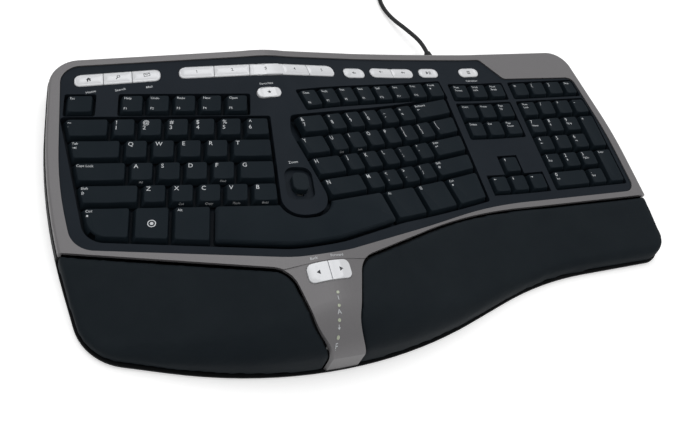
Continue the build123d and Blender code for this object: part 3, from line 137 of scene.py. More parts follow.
plastics = {
    "caseBlack": {"colour": (0.0042, 0.0048, 0.0055), "edge": (0.0065, 0.0072, 0.0080), "rough": (0.50, 0.62),
                  "shine": 0.08, "grain": 2600, "depth": 0.05, "strength": 0.35},
    "deckBlack": {"colour": (0.0102, 0.0142, 0.0195), "edge": (0.0130, 0.0172, 0.0230), "rough": (0.40, 0.50),
                  "shine": 0.05, "grain": 4200, "depth": 0.012, "strength": 0.25},
    "keyBlack": {"colour": (0.0072, 0.0116, 0.0158), "edge": (0.0094, 0.0142, 0.0186), "rough": (0.44, 0.56),
                 "shine": 0.05, "grain": 3600, "depth": 0.02, "strength": 0.3},
    "knobBlack": {"colour": (0.0080, 0.0125, 0.0165), "edge": (0.0105, 0.0155, 0.0200), "rough": (0.38, 0.46),
                  "shine": 0.06, "grain": 4200, "depth": 0.01, "strength": 0.2},
    "footRubber": {"colour": (0.02, 0.02, 0.02), "edge": (0.03, 0.03, 0.03), "rough": (0.75, 0.9),
                   "shine": 0.2, "grain": 1800, "depth": 0.08, "strength": 0.5},
    "cordRubber": {"colour": (0.010, 0.011, 0.012), "edge": (0.014, 0.015, 0.016), "rough": (0.48, 0.6),
                   "shine": 0.25, "grain": 3000, "depth": 0.02, "strength": 0.3},
    "domeRubber": {"colour": (0.62, 0.64, 0.65), "edge": (0.70, 0.72, 0.72), "rough": (0.5, 0.62),
                   "shine": 0.5, "grain": 2400, "depth": 0.03, "strength": 0.3},
    "legendWhite": {"colour": (0.48, 0.50, 0.52), "edge": (0.58, 0.60, 0.62), "rough": (0.45, 0.55),
                    "shine": 0.3, "grain": 5000, "depth": 0.004, "strength": 0.3},
    "iconDark": {"colour": (0.02, 0.022, 0.028), "edge": (0.03, 0.033, 0.04), "rough": (0.4, 0.5),
                 "shine": 0.3, "grain": 5000, "depth": 0.004, "strength": 0.3},
}


def plasticMaterial(name, values):
    """Moulded plastic or rubber: fine spark texture, slow shifts of tone and gloss."""
    material, tree, shader = shaderTree(name)
    coords = objectCoords(tree)
    grain = addNode(tree, "ShaderNodeTexNoise", Scale=values["grain"], Detail=3.0, Roughness=0.6)
    slow = addNode(tree, "ShaderNodeTexNoise", Scale=38.0, Detail=4.0, Roughness=0.55)
    for texture in (grain, slow):
        tree.links.new(coords, texture.inputs["Vector"])
    tree.links.new(twoTone(tree, slow.outputs["Fac"], values["colour"], values["edge"]), shader.inputs["Base Color"])
    tree.links.new(spread(tree, slow.outputs["Fac"], *values["rough"]), shader.inputs["Roughness"])
    shader.inputs["Specular IOR Level"].default_value = values["shine"]
    addBump(tree, shader, grain.outputs["Fac"], values["strength"], values["depth"] * mm)
    return material


paints = {
    "bezelGrey": {"dark": (0.104, 0.100, 0.104), "light": (0.152, 0.147, 0.152), "metallic": 0.3,
                  "rough": (0.39, 0.47), "flake": 5200},
    "silverKey": {"dark": (0.60, 0.61, 0.63), "light": (0.72, 0.73, 0.75), "metallic": 0.15,
                  "rough": (0.25, 0.33), "flake": 6000},
}


def metalPaintMaterial(name, values):
    """Metallic paint on plastic: fine flakes that shift the tone, a thin clear coat."""
    material, tree, shader = shaderTree(name)
    coords = objectCoords(tree)
    flakes = addNode(tree, "ShaderNodeTexNoise", Scale=values["flake"], Detail=2.0, Roughness=0.7)
    slow = addNode(tree, "ShaderNodeTexNoise", Scale=22.0, Detail=3.0)
    for texture in (flakes, slow):
        tree.links.new(coords, texture.inputs["Vector"])
    tree.links.new(twoTone(tree, flakes.outputs["Fac"], values["dark"], values["light"]), shader.inputs["Base Color"])
    tree.links.new(spread(tree, slow.outputs["Fac"], *values["rough"]), shader.inputs["Roughness"])
    shader.inputs["Metallic"].default_value = values["metallic"]
    shader.inputs["Coat Weight"].default_value = 0.15
    shader.inputs["Coat Roughness"].default_value = 0.25
    addBump(tree, shader, flakes.outputs["Fac"], 0.15, 0.01 * mm)
    return material


def leatherMaterial(name):
    """Soft black cover with a fine pebbled grain."""
    material, tree, shader = shaderTree(name)
    coords = objectCoords(tree)
    warp = addNode(tree, "ShaderNodeTexNoise", Scale=520.0, Detail=2.0)
    cells = addNode(tree, "ShaderNodeTexVoronoi", Scale=1150.0, Randomness=1.0)
    cells.feature = "SMOOTH_F1"
    slow = addNode(tree, "ShaderNodeTexNoise", Scale=26.0, Detail=5.0, Roughness=0.6)
    fine = addNode(tree, "ShaderNodeTexNoise", Scale=3600.0, Detail=2.0)
    tree.links.new(coords, warp.inputs["Vector"])
    tree.links.new(coords, slow.inputs["Vector"])
    tree.links.new(coords, fine.inputs["Vector"])
    shifted = tree.nodes.new("ShaderNodeVectorMath")
    shifted.operation = "MULTIPLY_ADD"
    shifted.inputs[1].default_value = (0.0006, 0.0006, 0.0006)
    tree.links.new(warp.outputs["Color"], shifted.inputs[0])
    tree.links.new(coords, shifted.inputs[2])
    tree.links.new(shifted.outputs["Vector"], cells.inputs["Vector"])
    tree.links.new(twoTone(tree, slow.outputs["Fac"], (0.0078, 0.0110, 0.0140), (0.0105, 0.0143, 0.0175)),
                   shader.inputs["Base Color"])
    tree.links.new(spread(tree, cells.outputs["Distance"], 0.68, 0.55), shader.inputs["Roughness"])
    shader.inputs["Specular IOR Level"].default_value = 0.05
    pebbles = addBump(tree, shader, cells.outputs["Distance"], 0.45, 0.10 * mm)
    addBump(tree, shader, fine.outputs["Fac"], 0.25, 0.02 * mm, pebbles)
    return material


def steelMaterial(name, rough):
    """Plated steel with faint rolling lines."""
    material, tree, shader = shaderTree(name)
    coords = objectCoords(tree)
    mapping = addNode(tree, "ShaderNodeMapping", Scale=(60.0, 4000.0, 900.0))
    lines = addNode(tree, "ShaderNodeTexNoise", Scale=1.0, Detail=3.0)
    tree.links.new(coords, mapping.inputs["Vector"])
    tree.links.new(mapping.outputs["Vector"], lines.inputs["Vector"])
    tree.links.new(twoTone(tree, lines.outputs["Fac"], (0.48, 0.48, 0.49), (0.62, 0.62, 0.63)),
                   shader.inputs["Base Color"])
    tree.links.new(spread(tree, lines.outputs["Fac"], rough, rough + 0.12), shader.inputs["Roughness"])
    shader.inputs["Metallic"].default_value = 1.0
    addBump(tree, shader, lines.outputs["Fac"], 0.2, 0.005 * mm)
    return material


boards = {
    "boardGreen": {"mask": (0.012, 0.075, 0.03), "overTracks": (0.03, 0.16, 0.07)},
    # painted shade: near-black board that stands in for the shade behind the gaps beside the tongue
    "boardShadeBlack": {"mask": (0.004, 0.005, 0.005), "overTracks": (0.008, 0.009, 0.009)},
}


def boardMaterial(name, values):
    """Solder mask over copper tracks that run in both directions."""
    material, tree, shader = shaderTree(name)
    coords = objectCoords(tree)
    tracks = addNode(tree, "ShaderNodeTexBrick", Scale=260.0, Mortar_Size=0.06)
    tree.links.new(coords, tracks.inputs["Vector"])
    tree.links.new(twoTone(tree, tracks.outputs["Fac"], values["mask"], values["overTracks"]),
                   shader.inputs["Base Color"])
    shader.inputs["Roughness"].default_value = 0.28
    addBump(tree, shader, tracks.outputs["Fac"], 0.4, 0.03 * mm)
    return material


def lensMaterial(name):
    """Clear lamp lens; its pale green base colour is painted glow of the lamp behind it, and no light comes from it.
    """
    material, tree, shader = shaderTree(name)
    coords = objectCoords(tree)
    cloud = addNode(tree, "ShaderNodeTexNoise", Scale=900.0, Detail=2.0)
    tree.links.new(coords, cloud.inputs["Vector"])
    # painted glow: the pale green tones stand in for the light of the lamp behind the lens
    tree.links.new(twoTone(tree, cloud.outputs["Fac"], (0.30, 0.33, 0.24), (0.46, 0.50, 0.38)),
                   shader.inputs["Base Color"])
    shader.inputs["Roughness"].default_value = 0.18
    shader.inputs["Coat Weight"].default_value = 0.6
    return material


def filmMaterial(name):
    """Printed contact film: pale sheet with dark lines."""
    material, tree, shader = shaderTree(name)
    coords = objectCoords(tree)
    prints = addNode(tree, "ShaderNodeTexBrick", Scale=90.0, Mortar_Size=0.04)
    tree.links.new(coords, prints.inputs["Vector"])
    tree.links.new(twoTone(tree, prints.outputs["Fac"], (0.5, 0.52, 0.5), (0.10, 0.11, 0.12)),
                   shader.inputs["Base Color"])
    shader.inputs["Roughness"].default_value = 0.3
    return material


materials = {name: plasticMaterial(name, values) for name, values in plastics.items()}
materials.update({name: metalPaintMaterial(name, values) for name, values in paints.items()})
materials["palmCover"] = leatherMaterial("palmCover")
materials["plainSteel"] = steelMaterial("plainSteel", 0.32)
materials["plugSteel"] = steelMaterial("plugSteel", 0.2)
materials.update({name: boardMaterial(name, values) for name, values in boards.items()})
materials["lampLens"] = lensMaterial("lampLens")
materials["contactFilm"] = filmMaterial("contactFilm")

slotMaterials = {
    "case_black": "caseBlack", "bezel_grey": "bezelGrey", "deck_black": "deckBlack", "key_black": "keyBlack",
    "knob_black": "knobBlack", "palm_cover": "palmCover", "dome_rubber": "domeRubber",
    "contact_film": "contactFilm", "steel": "plainSteel", "plug_steel": "plugSteel", "board_green": "boardGreen",
    "lamp_lens": "lampLens", "foot_rubber": "footRubber", "cord_rubber": "cordRubber",
    "hot_key_silver": "silverKey",
}
ownMaterials = {"indicator_board": "boardShadeBlack"}     # painted shade: a near-black board in place of its slot's finish, so it stays dark behind the narrow gaps beside the tongue


def dressNodes():
    for part in frame["record"]["subparts"]:
        made = nodes[part["node"]]
        material = materials[ownMaterials.get(part["node"], slotMaterials[part["material_slot"]])]
        if not made.data.materials:
            made.data.materials.append(material)
        for index in range(len(made.material_slots)):
            made.material_slots[index].material = material


dressNodes()
print("materials done")


# Cord: one smooth curve from the strain relief to the plug

cordSize = {
    "radius": 2.0 * mm,
    "length": 2.0,
    "coilMiddle": Vector((62.7, 273.6, 0)) * mm + origin,
    "coilRadius": 23.9 * mm,
    "halfWidth": 6.75 * mm,
    "low": 3.3 * mm,
    "layerRise": 4.6 * mm,
    "turns": 3,
    "layers": 4,
    "outerGap": 10.5 * mm,
    "plugHeight": 4.3 * mm,
    "pointsPerTurn": 24,
    "lastArc": 0.75 * math.pi,
}
cordRoute = [(105.45, 152.04, 12), (105.45, 164.04, 12), (97.28, 183.54, 9.5), (89.68, 203.3, 4.56),
             (86.45, 221.54, 2.375), (88.54, 239.4, 2.47), (93.35, 257.6, 3.3), (93.35, 269.6, 3.3)]


def smoothShare(share):
    share = min(max(share, 0), 1)
    return share * share * (3 - 2 * share)


def coilSpot(angle, size):
    """Point of the coil: it spirals in and out again and climbs a layer at each reversal."""
    layerAngle = size["turns"] * 2 * math.pi
    total = size["layers"] * layerAngle
    inside = min(angle, total)
    phase = inside / layerAngle
    nearest = abs(phase - 2 * round(phase / 2))
    radius = size["coilRadius"] + size["halfWidth"] * (1 - 2 * nearest)
    rise = sum(smoothShare((inside - layer * layerAngle + math.pi / 2) / math.pi)
               for layer in range(1, size["layers"]))
    height = size["low"] + rise * size["layerRise"]
    beyond = (angle - total) / (math.pi / 2)
    radius += size["outerGap"] * smoothShare(beyond)
    height += (size["plugHeight"] - height) * smoothShare((beyond - 0.3) / 1.2)
    radius /= math.cos(math.pi / size["pointsPerTurn"]) ** 0.5
    return size["coilMiddle"] + Vector((radius * math.cos(angle), radius * math.sin(angle), height))


def makeCord(size):
    points = [Vector(point) * mm + origin for point in cordRoute]
    lastAngle = size["layers"] * size["turns"] * 2 * math.pi + size["lastArc"]
    count = round(lastAngle / (2 * math.pi) * size["pointsPerTurn"])
    points += [coilSpot(lastAngle * i / count, size) for i in range(count + 1)]
    points.append(points[-1] + Vector((-math.sin(lastAngle), math.cos(lastAngle), 0)) * 2 * size["radius"])
    curve = bpy.data.curves.new("cord", "CURVE")
    curve.dimensions = "3D"
    spline = curve.splines.new("NURBS")
    spline.points.add(len(points) - 1)
    for spot, point in zip(spline.points, points):
        spot.co = (*point, 1)
    spline.order_u = 3
    spline.use_endpoint_u = True
    curve.resolution_u = 5
    curve.bevel_depth = size["radius"]
    curve.bevel_resolution = 4
    made = bpy.data.objects.new("cord", curve)
    made.data.materials.append(materials["cordRubber"])
    scene.collection.objects.link(made)
    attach(made, "base")
    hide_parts("cable_run", "cable_coil")


makeCord(cordSize)
print("cord done")


# Softened copies of moulded pieces whose edges catch the light

def appliedMesh(holder, name):
    depsgraph = bpy.context.evaluated_depsgraph_get()
    mesh = bpy.data.meshes.new_from_object(holder.evaluated_get(depsgraph))
    mesh.name = name
    return mesh


def mergedCopy(node, name):
    work = bmesh.new()
    work.from_mesh(nodes[node].data)
    bmesh.ops.remove_doubles(work, verts=work.verts, dist=0.002 * mm)
    mesh = bpy.data.meshes.new(name)
    work.to_mesh(mesh)
    work.free()
    made = bpy.data.objects.new(name, mesh)
    scene.collection.objects.link(made)
    return made


def swapMesh(made, mesh):
    made.modifiers.clear()
    old = made.data
    made.data = mesh
    bpy.data.meshes.remove(old)


hotKeyForm = {"edge": 0, "dome": 0.95 * mm}
tongueKeyForm = {"edge": 0.8 * mm, "dome": 0.6 * mm}
softPieces = {"space_bar": {"edge": 0.7 * mm, "dome": 0}, "back_key": tongueKeyForm, "forward_key": tongueKeyForm}
softPieces.update({node: hotKeyForm for node in (
    "home_page_key", "search_key", "mail_key", "favourite_key_1", "favourite_key_2", "favourite_key_3",
    "favourite_key_4", "favourite_key_5", "favourites_key", "mute_key", "volume_down_key", "volume_up_key",
    "play_pause_key", "calculator_key")})
domeForm = {
    "reach": 3.8 * mm,      # from the edge of the flat top to where it is level
    "rim": 1.05 * mm,       # height of the rounded rim that is lowered with it
    "level": 0.014 * mm,    # how far below the top's middle a point still counts as on the flat top
    "step": 0.7 * mm,
}
softened = {}


def edgeDistance(point, outline):
    """Distance in plan from a point to a closed outline."""
    least = 1.0
    for first, second in zip(outline, outline[1:] + outline[:1]):
        run = second - first
        share = min(max((point - first).dot(run) / run.length_squared, 0), 1)
        least = min(least, (point - first - run * share).length)
    return least


def domed(work, depth, form):
    """Cuts a flat top into narrow strips both ways and lowers it towards its edge."""
    top = max(work.faces, key=lambda face: face.calc_area() if face.normal.z > 0.9 else 0)
    middle, normal = top.calc_center_median(), top.normal.copy()
    outline = [v.co.xy.copy() for v in top.verts]
    longest = max(top.edges, key=lambda edge: edge.calc_length())
    along = (longest.verts[1].co - longest.verts[0].co).normalized()
    for direction in (along, normal.cross(along)):
        offsets = [(Vector((*point, middle.z)) - middle).dot(direction) for point in outline]
        count = round((max(offsets) - min(offsets)) / form["step"])
        for i in range(1, count):
            offset = min(offsets) + (max(offsets) - min(offsets)) * i / count
            everything = work.verts[:] + work.edges[:] + work.faces[:]
            bmesh.ops.bisect_plane(work, geom=everything, dist=0.01 * mm, plane_co=middle + direction * offset,
                                   plane_no=direction)
    for vertex in work.verts:
        below = (middle - vertex.co).dot(normal)
        if below < form["rim"]:
            inside = edgeDistance(vertex.co.xy, outline) if below < form["level"] else 0
            vertex.co.z -= depth * (1 - min(inside / form["reach"], 1)) ** 2


def softenedCopy(node, width, dome):
    """The node's shape with flat faces joined, its sharp edges rounded or its top domed."""
    part = next(part for part in frame["record"]["subparts"] if part["node"] == node)
    made = mergedCopy(node, node + "_soft")
    work = bmesh.new()
    work.from_mesh(made.data)
    bmesh.ops.dissolve_limit(work, angle_limit=math.radians(1.2), verts=work.verts[:], edges=work.edges[:])
    if dome:
        domed(work, dome, domeForm)
    work.to_mesh(made.data)
    work.free()
    if width:
        bevel = made.modifiers.new("bevel", "BEVEL")
        bevel.width = width
        bevel.segments = 3
        bevel.limit_method = "ANGLE"
        bevel.angle_limit = math.radians(28)
        swapMesh(made, appliedMesh(made, made.name))
    for face in made.data.polygons:
        face.use_smooth = True
    made.data.set_sharp_from_angle(angle=math.radians(32))
    made.data.materials.clear()
    made.data.materials.append(materials[slotMaterials[part["material_slot"]]])
    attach(made, node)
    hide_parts(node)
    softened[node] = made


for softNode, softForm in softPieces.items():
    softenedCopy(softNode, softForm["edge"], softForm["dome"])
print("softened pieces done")


# Repeated details, each a Geometry Nodes tree with its sizes as inputs

def newTree(name, sockets):
    tree = bpy.data.node_groups.new(name, "GeometryNodeTree")
    for label, kind in sockets:
        tree.interface.new_socket(label, in_out="INPUT", socket_type=kind)
    tree.interface.new_socket("Geometry", in_out="OUTPUT", socket_type="NodeSocketGeometry")
    return tree, tree.nodes.new("NodeGroupInput"), tree.nodes.new("NodeGroupOutput")


def finishTree(tree, group, geometry, output):
    """Instances become plain faces and take the material."""
    real = tree.nodes.new("GeometryNodeRealizeInstances")
    dressed = tree.nodes.new("GeometryNodeSetMaterial")
    tree.links.new(geometry, real.inputs["Geometry"])
    tree.links.new(real.outputs["Geometry"], dressed.inputs["Geometry"])
    tree.links.new(group.outputs["Material"], dressed.inputs["Material"])
    tree.links.new(dressed.outputs["Geometry"], output.inputs["Geometry"])


def ringTree():
    """Rings along a straight line; their radius runs from the first to the last."""
    tree, group, output = newTree("rings", [
        ("Start", "NodeSocketVector"), ("End", "NodeSocketVector"), ("Count", "NodeSocketInt"),
        ("First Radius", "NodeSocketFloat"), ("Last Radius", "NodeSocketFloat"),
        ("Thickness", "NodeSocketFloat"), ("Material", "NodeSocketMaterial")])
    line = tree.nodes.new("GeometryNodeCurvePrimitiveLine")
    spots = tree.nodes.new("GeometryNodeCurveToPoints")
    ring = tree.nodes.new("GeometryNodeCurvePrimitiveCircle")
    section = tree.nodes.new("GeometryNodeCurvePrimitiveCircle")
    swept = tree.nodes.new("GeometryNodeCurveToMesh")
    place = tree.nodes.new("GeometryNodeInstanceOnPoints")
    share = tree.nodes.new("GeometryNodeSplineParameter")
    stored = tree.nodes.new("GeometryNodeCaptureAttribute")
    stored.capture_items.new("FLOAT", "share")
    radius = tree.nodes.new("ShaderNodeMapRange")
    slim = tree.nodes.new("ShaderNodeMath")
    slim.operation = "DIVIDE"
    link = tree.links.new
    link(group.outputs["Start"], line.inputs["Start"])
    link(group.outputs["End"], line.inputs["End"])
    link(line.outputs["Curve"], stored.inputs["Geometry"])
    link(share.outputs["Factor"], stored.inputs["share"])
    link(stored.outputs["Geometry"], spots.inputs["Curve"])
    link(group.outputs["Count"], spots.inputs["Count"])
    ring.inputs["Resolution"].default_value = 40
    ring.inputs["Radius"].default_value = 1.0
    section.inputs["Resolution"].default_value = 10
    link(group.outputs["Thickness"], slim.inputs[0])
    link(group.outputs["First Radius"], slim.inputs[1])
    link(slim.outputs[0], section.inputs["Radius"])
    link(ring.outputs["Curve"], swept.inputs["Curve"])
    link(section.outputs["Curve"], swept.inputs["Profile Curve"])
    link(stored.outputs["share"], radius.inputs["Value"])
    link(group.outputs["First Radius"], radius.inputs["To Min"])
    link(group.outputs["Last Radius"], radius.inputs["To Max"])
    link(spots.outputs["Points"], place.inputs["Points"])
    link(spots.outputs["Rotation"], place.inputs["Rotation"])
    link(swept.outputs["Mesh"], place.inputs["Instance"])
    link(radius.outputs["Result"], place.inputs["Scale"])
    finishTree(tree, group, place.outputs["Instances"], output)
    return tree


def barTree():
    """Round-backed bars side by side, one step apart, all turned alike."""
    tree, group, output = newTree("bars", [
        ("Start", "NodeSocketVector"), ("Step", "NodeSocketVector"), ("Count", "NodeSocketInt"),
        ("Length", "NodeSocketFloat"), ("Thickness", "NodeSocketFloat"), ("Turn", "NodeSocketRotation"),
        ("Material", "NodeSocketMaterial")])
    line = tree.nodes.new("GeometryNodeMeshLine")
    bar = tree.nodes.new("GeometryNodeMeshCylinder")
    place = tree.nodes.new("GeometryNodeInstanceOnPoints")
    link = tree.links.new
    bar.inputs["Vertices"].default_value = 12
    link(group.outputs["Start"], line.inputs["Start Location"])
    link(group.outputs["Step"], line.inputs["Offset"])
    link(group.outputs["Count"], line.inputs["Count"])
    link(group.outputs["Length"], bar.inputs["Depth"])
    link(group.outputs["Thickness"], bar.inputs["Radius"])
    link(line.outputs["Mesh"], place.inputs["Points"])
    link(bar.outputs["Mesh"], place.inputs["Instance"])
    link(group.outputs["Turn"], place.inputs["Rotation"])
    finishTree(tree, group, place.outputs["Instances"], output)
    return tree


def grown(tree, name, body, values):
    """A plain mesh of what the tree makes from these values."""
    made = bpy.data.objects.new(name, bpy.data.meshes.new(name))
    scene.collection.objects.link(made)
    modifier = made.modifiers.new("repeat", "NODES")
    modifier.node_group = tree
    sockets = {item.name: item.identifier for item in tree.interface.items_tree if item.in_out == "INPUT"}
    for label, value in values.items():
        modifier[sockets[label]] = value
    mesh = bpy.data.meshes.new_from_object(made.evaluated_get(bpy.context.evaluated_depsgraph_get()))
    made.modifiers.clear()
    made.data = mesh
    work = bmesh.new()
    work.from_mesh(mesh)
    bmesh.ops.recalc_face_normals(work, faces=work.faces[:])
    for face in work.faces:
        face.smooth = True
        face.material_index = 0
    work.to_mesh(mesh)
    work.free()
    mesh.materials.clear()
    mesh.materials.append(values["Material"])
    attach(made, body)
    return made


reliefRibs = {
    "Count": 6,
    "First Radius": 4.2 * mm,
    "Last Radius": 3.0 * mm,
    "Thickness": 0.55 * mm,
}
ribSpan = (2.6 * mm, 14.0 * mm)       # from the back wall, first and last ring
reliefLength = 16.0 * mm
gripBars = {
    "Count": 7,
    "Length": 8.6 * mm,
    "Thickness": 0.5 * mm,
}
gripStep = 2.1 * mm
gripSink = 0.15 * mm


def makeRibs():
    """Ribs of the strain relief and grip bars on both faces of the plug."""
    tip = Vector(cordRoute[0]) * mm + origin
    wall = tip - Vector((0, reliefLength, 0))
    ends = {label: tuple(wall + Vector((0, share, 0))) for label, share in zip(("Start", "End"), ribSpan)}
    grown(ringTree(), "relief_ribs", "base", dict(reliefRibs, Material=materials["cordRubber"], **ends))
    low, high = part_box("usb_plug")
    shellLow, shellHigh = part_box("usb_shell")
    ahead = Vector((shellLow + shellHigh) / 2 - (low + high) / 2).normalized()
    across = Vector((-ahead.y, ahead.x, 0))
    bars = barTree()
    middle = (low + high) / 2
    reach = gripStep * (gripBars["Count"] - 1) / 2
    turn = tuple(across.to_track_quat("Z", "Y").to_euler())
    for name, height in (("plug_grips_top", high.z - gripSink), ("plug_grips_bottom", low.z + gripSink)):
        start = middle - ahead * reach
        values = dict(gripBars, Start=(start.x, start.y, height), Step=tuple(ahead * gripStep), Turn=turn,
                      Material=materials["cordRubber"])
        grown(bars, name, "base", values)


makeRibs()
print("ribs done")


# Flat shapes for the printed legends: lists of points and faces, one unit high

def shapeOf(points, faces):
    return {"points": points, "faces": faces, "width": max(x for x, _ in points)}


def polygonShape(*outlines):
    points, faces = [], []
    for outline in outlines:
        faces.append(list(range(len(points), len(points) + len(outline))))
        points += outline
    return shapeOf(points, faces)


def barOutline(start, end, width):
    (ax, ay), (bx, by) = start, end
    length = math.hypot(bx - ax, by - ay)
    sideX, sideY = (by - ay) / length * width / 2, -(bx - ax) / length * width / 2
    return [(ax + sideX, ay + sideY), (bx + sideX, by + sideY), (bx - sideX, by - sideY), (ax - sideX, ay - sideY)]


def ringOutlines(middle, outer, inner, first=0.0, last=360.0, count=20):
    """Ring, or part of one, as small four-sided pieces."""
    pieces = []
    for i in range(count):
        a, b = (math.radians(first + (last - first) * step / count) for step in (i, i + 1))
        corners = [(outer, a), (outer, b), (inner, b), (inner, a)]
        pieces.append([(middle[0] + r * math.cos(t), middle[1] + r * math.sin(t)) for r, t in corners])
    return pieces


def starOutline(middle, outer, inner):
    points = []
    for i in range(10):
        angle = math.radians(90 + 36 * i)
        radius = inner if i % 2 else outer
        points.append((middle[0] + radius * math.cos(angle), middle[1] + radius * math.sin(angle)))
    return points


def frameBars(left, low, right, high, width):
    corners = [(left, low), (right, low), (right, high), (left, high)]
    return [barOutline(corners[i], corners[(i + 1) % 4], width) for i in range(4)]


speaker = [(0, 0.35), (0.2, 0.35), (0.45, 0.1), (0.45, 0.9), (0.2, 0.65), (0, 0.65)]
arrowLeft = [barOutline((0.25, 0.5), (1.1, 0.5), 0.14), [(0, 0.5), (0.42, 0.2), (0.42, 0.8)]]
arrowRight = [barOutline((0, 0.5), (0.85, 0.5), 0.14), [(1.1, 0.5), (0.68, 0.8), (0.68, 0.2)]]
arrowUp = [barOutline((0.4, 0), (0.4, 0.7), 0.16), [(0.4, 1), (0.05, 0.55), (0.75, 0.55)]]
arrowDown = [barOutline((0.4, 0.3), (0.4, 1), 0.16), [(0.4, 0), (0.75, 0.45), (0.05, 0.45)]]
icons = {
    "house": polygonShape([(0, 0.5), (0.6, 1), (1.2, 0.5), (1.0, 0.5), (1.0, 0), (0.72, 0), (0.72, 0.38),
                           (0.48, 0.38), (0.48, 0), (0.2, 0), (0.2, 0.5)]),
    "lens": polygonShape(*ringOutlines((0.66, 0.64), 0.36, 0.22), barOutline((0.42, 0.4), (0.06, 0.04), 0.18)),
    "letter": polygonShape(*frameBars(0.06, 0.1, 1.34, 0.9, 0.12), barOutline((0.1, 0.86), (0.7, 0.42), 0.11),
                           barOutline((0.7, 0.42), (1.3, 0.86), 0.11)),
    "star": polygonShape(starOutline((0.5, 0.5), 0.55, 0.22)),
    "quiet": polygonShape(speaker, barOutline((0.6, 0.3), (1.0, 0.7), 0.12),
                          barOutline((0.6, 0.7), (1.0, 0.3), 0.12)),
    "lower": polygonShape(speaker, barOutline((0.62, 0.5), (1.05, 0.5), 0.14)),
    "louder": polygonShape(speaker, barOutline((0.6, 0.5), (1.1, 0.5), 0.14),
                           barOutline((0.85, 0.25), (0.85, 0.75), 0.14)),
    "playPause": polygonShape([(0, 0), (0.75, 0.5), (0, 1)], barOutline((1.0, 0), (1.0, 1), 0.18),
                              barOutline((1.35, 0), (1.35, 1), 0.18)),
    "sums": polygonShape(*frameBars(0.06, 0.04, 0.84, 0.96, 0.11), barOutline((0.2, 0.72), (0.7, 0.72), 0.2),
                         barOutline((0.22, 0.4), (0.68, 0.4), 0.1), barOutline((0.22, 0.2), (0.68, 0.2), 0.1)),
    "arrowLeft": polygonShape(*arrowLeft),
    "arrowRight": polygonShape(*arrowRight),
    "arrowUp": polygonShape(*arrowUp),
    "arrowDown": polygonShape(*arrowDown),
    "backward": polygonShape([(0, 0.5), (0.8, 0), (0.8, 1)]),
    "forward": polygonShape([(0, 0), (0.8, 0.5), (0, 1)]),
    "tab": polygonShape(*arrowRight, barOutline((1.2, 0.15), (1.2, 0.85), 0.12)),
    "shift": polygonShape([(0.28, 0), (0.28, 0.42), (0, 0.42), (0.5, 1), (1.0, 0.42), (0.72, 0.42), (0.72, 0),
                           (0.58, 0), (0.58, 0.56), (0.7, 0.56), (0.5, 0.8), (0.3, 0.56), (0.42, 0.56), (0.42, 0)]),
    "bend": polygonShape(*arrowLeft, barOutline((1.06, 0.44), (1.06, 0.95), 0.14)),
    "dot": polygonShape(*ringOutlines((0.5, 0.5), 0.3, 0.0, count=14)),
    "mark": polygonShape(*ringOutlines((0.5, 0.5), 0.52, 0.40, count=28),
                         *ringOutlines((0.5, 0.5), 0.22, 0.0, count=16)),
    "menu": polygonShape(*frameBars(0.06, 0.02, 0.86, 0.98, 0.1), barOutline((0.22, 0.72), (0.70, 0.72), 0.1),
                         barOutline((0.22, 0.5), (0.70, 0.5), 0.1), barOutline((0.22, 0.28), (0.70, 0.28), 0.1)),
}
letterShapes = {}


def textMesh(words):
    curve = bpy.data.curves.new("words", "FONT")
    curve.body = words
    curve.size = 1.0
    curve.offset = 0.004
    curve.resolution_u = 3
    holder = bpy.data.objects.new("words", curve)
    scene.collection.objects.link(holder)
    depsgraph = bpy.context.evaluated_depsgraph_get()
    mesh = bpy.data.meshes.new_from_object(holder.evaluated_get(depsgraph))
    points = [(v.co.x, v.co.y) for v in mesh.vertices]
    faces = [list(face.vertices) for face in mesh.polygons]
    bpy.data.meshes.remove(mesh)
    bpy.data.objects.remove(holder)
    bpy.data.curves.remove(curve)
    return points, faces


capitalHeight = max(y for _, y in textMesh("H")[0])


def wordShape(words):
    """Letters one unit high, starting at zero."""
    if words not in letterShapes:
        points, faces = textMesh(words)
        least = min(x for x, _ in points)
        letterShapes[words] = shapeOf([((x - least) / capitalHeight, y / capitalHeight) for x, y in points], faces)
    return letterShapes[words]


def shapeNamed(name):
    return icons[name[1:]] if name.startswith("*") else wordShape(name)


def surfaceOf(node):
    mesh = softened.get(node, nodes[node]).data
    return BVHTree.FromPolygons([v.co for v in mesh.vertices], [list(f.vertices) for f in mesh.polygons])


def heightOn(tree, x, y):
    hit = tree.ray_cast(Vector((x, y, 0.5)), Vector((0, 0, -1)))
    return None if hit[0] is None else hit[0].z


printLift = 0.03 * mm
printFacet = 0.9 * mm     # longest edge of a print before it is divided


def turnedSpot(spot, turn):
    return Matrix.Rotation(turn, 2) @ Vector(spot)


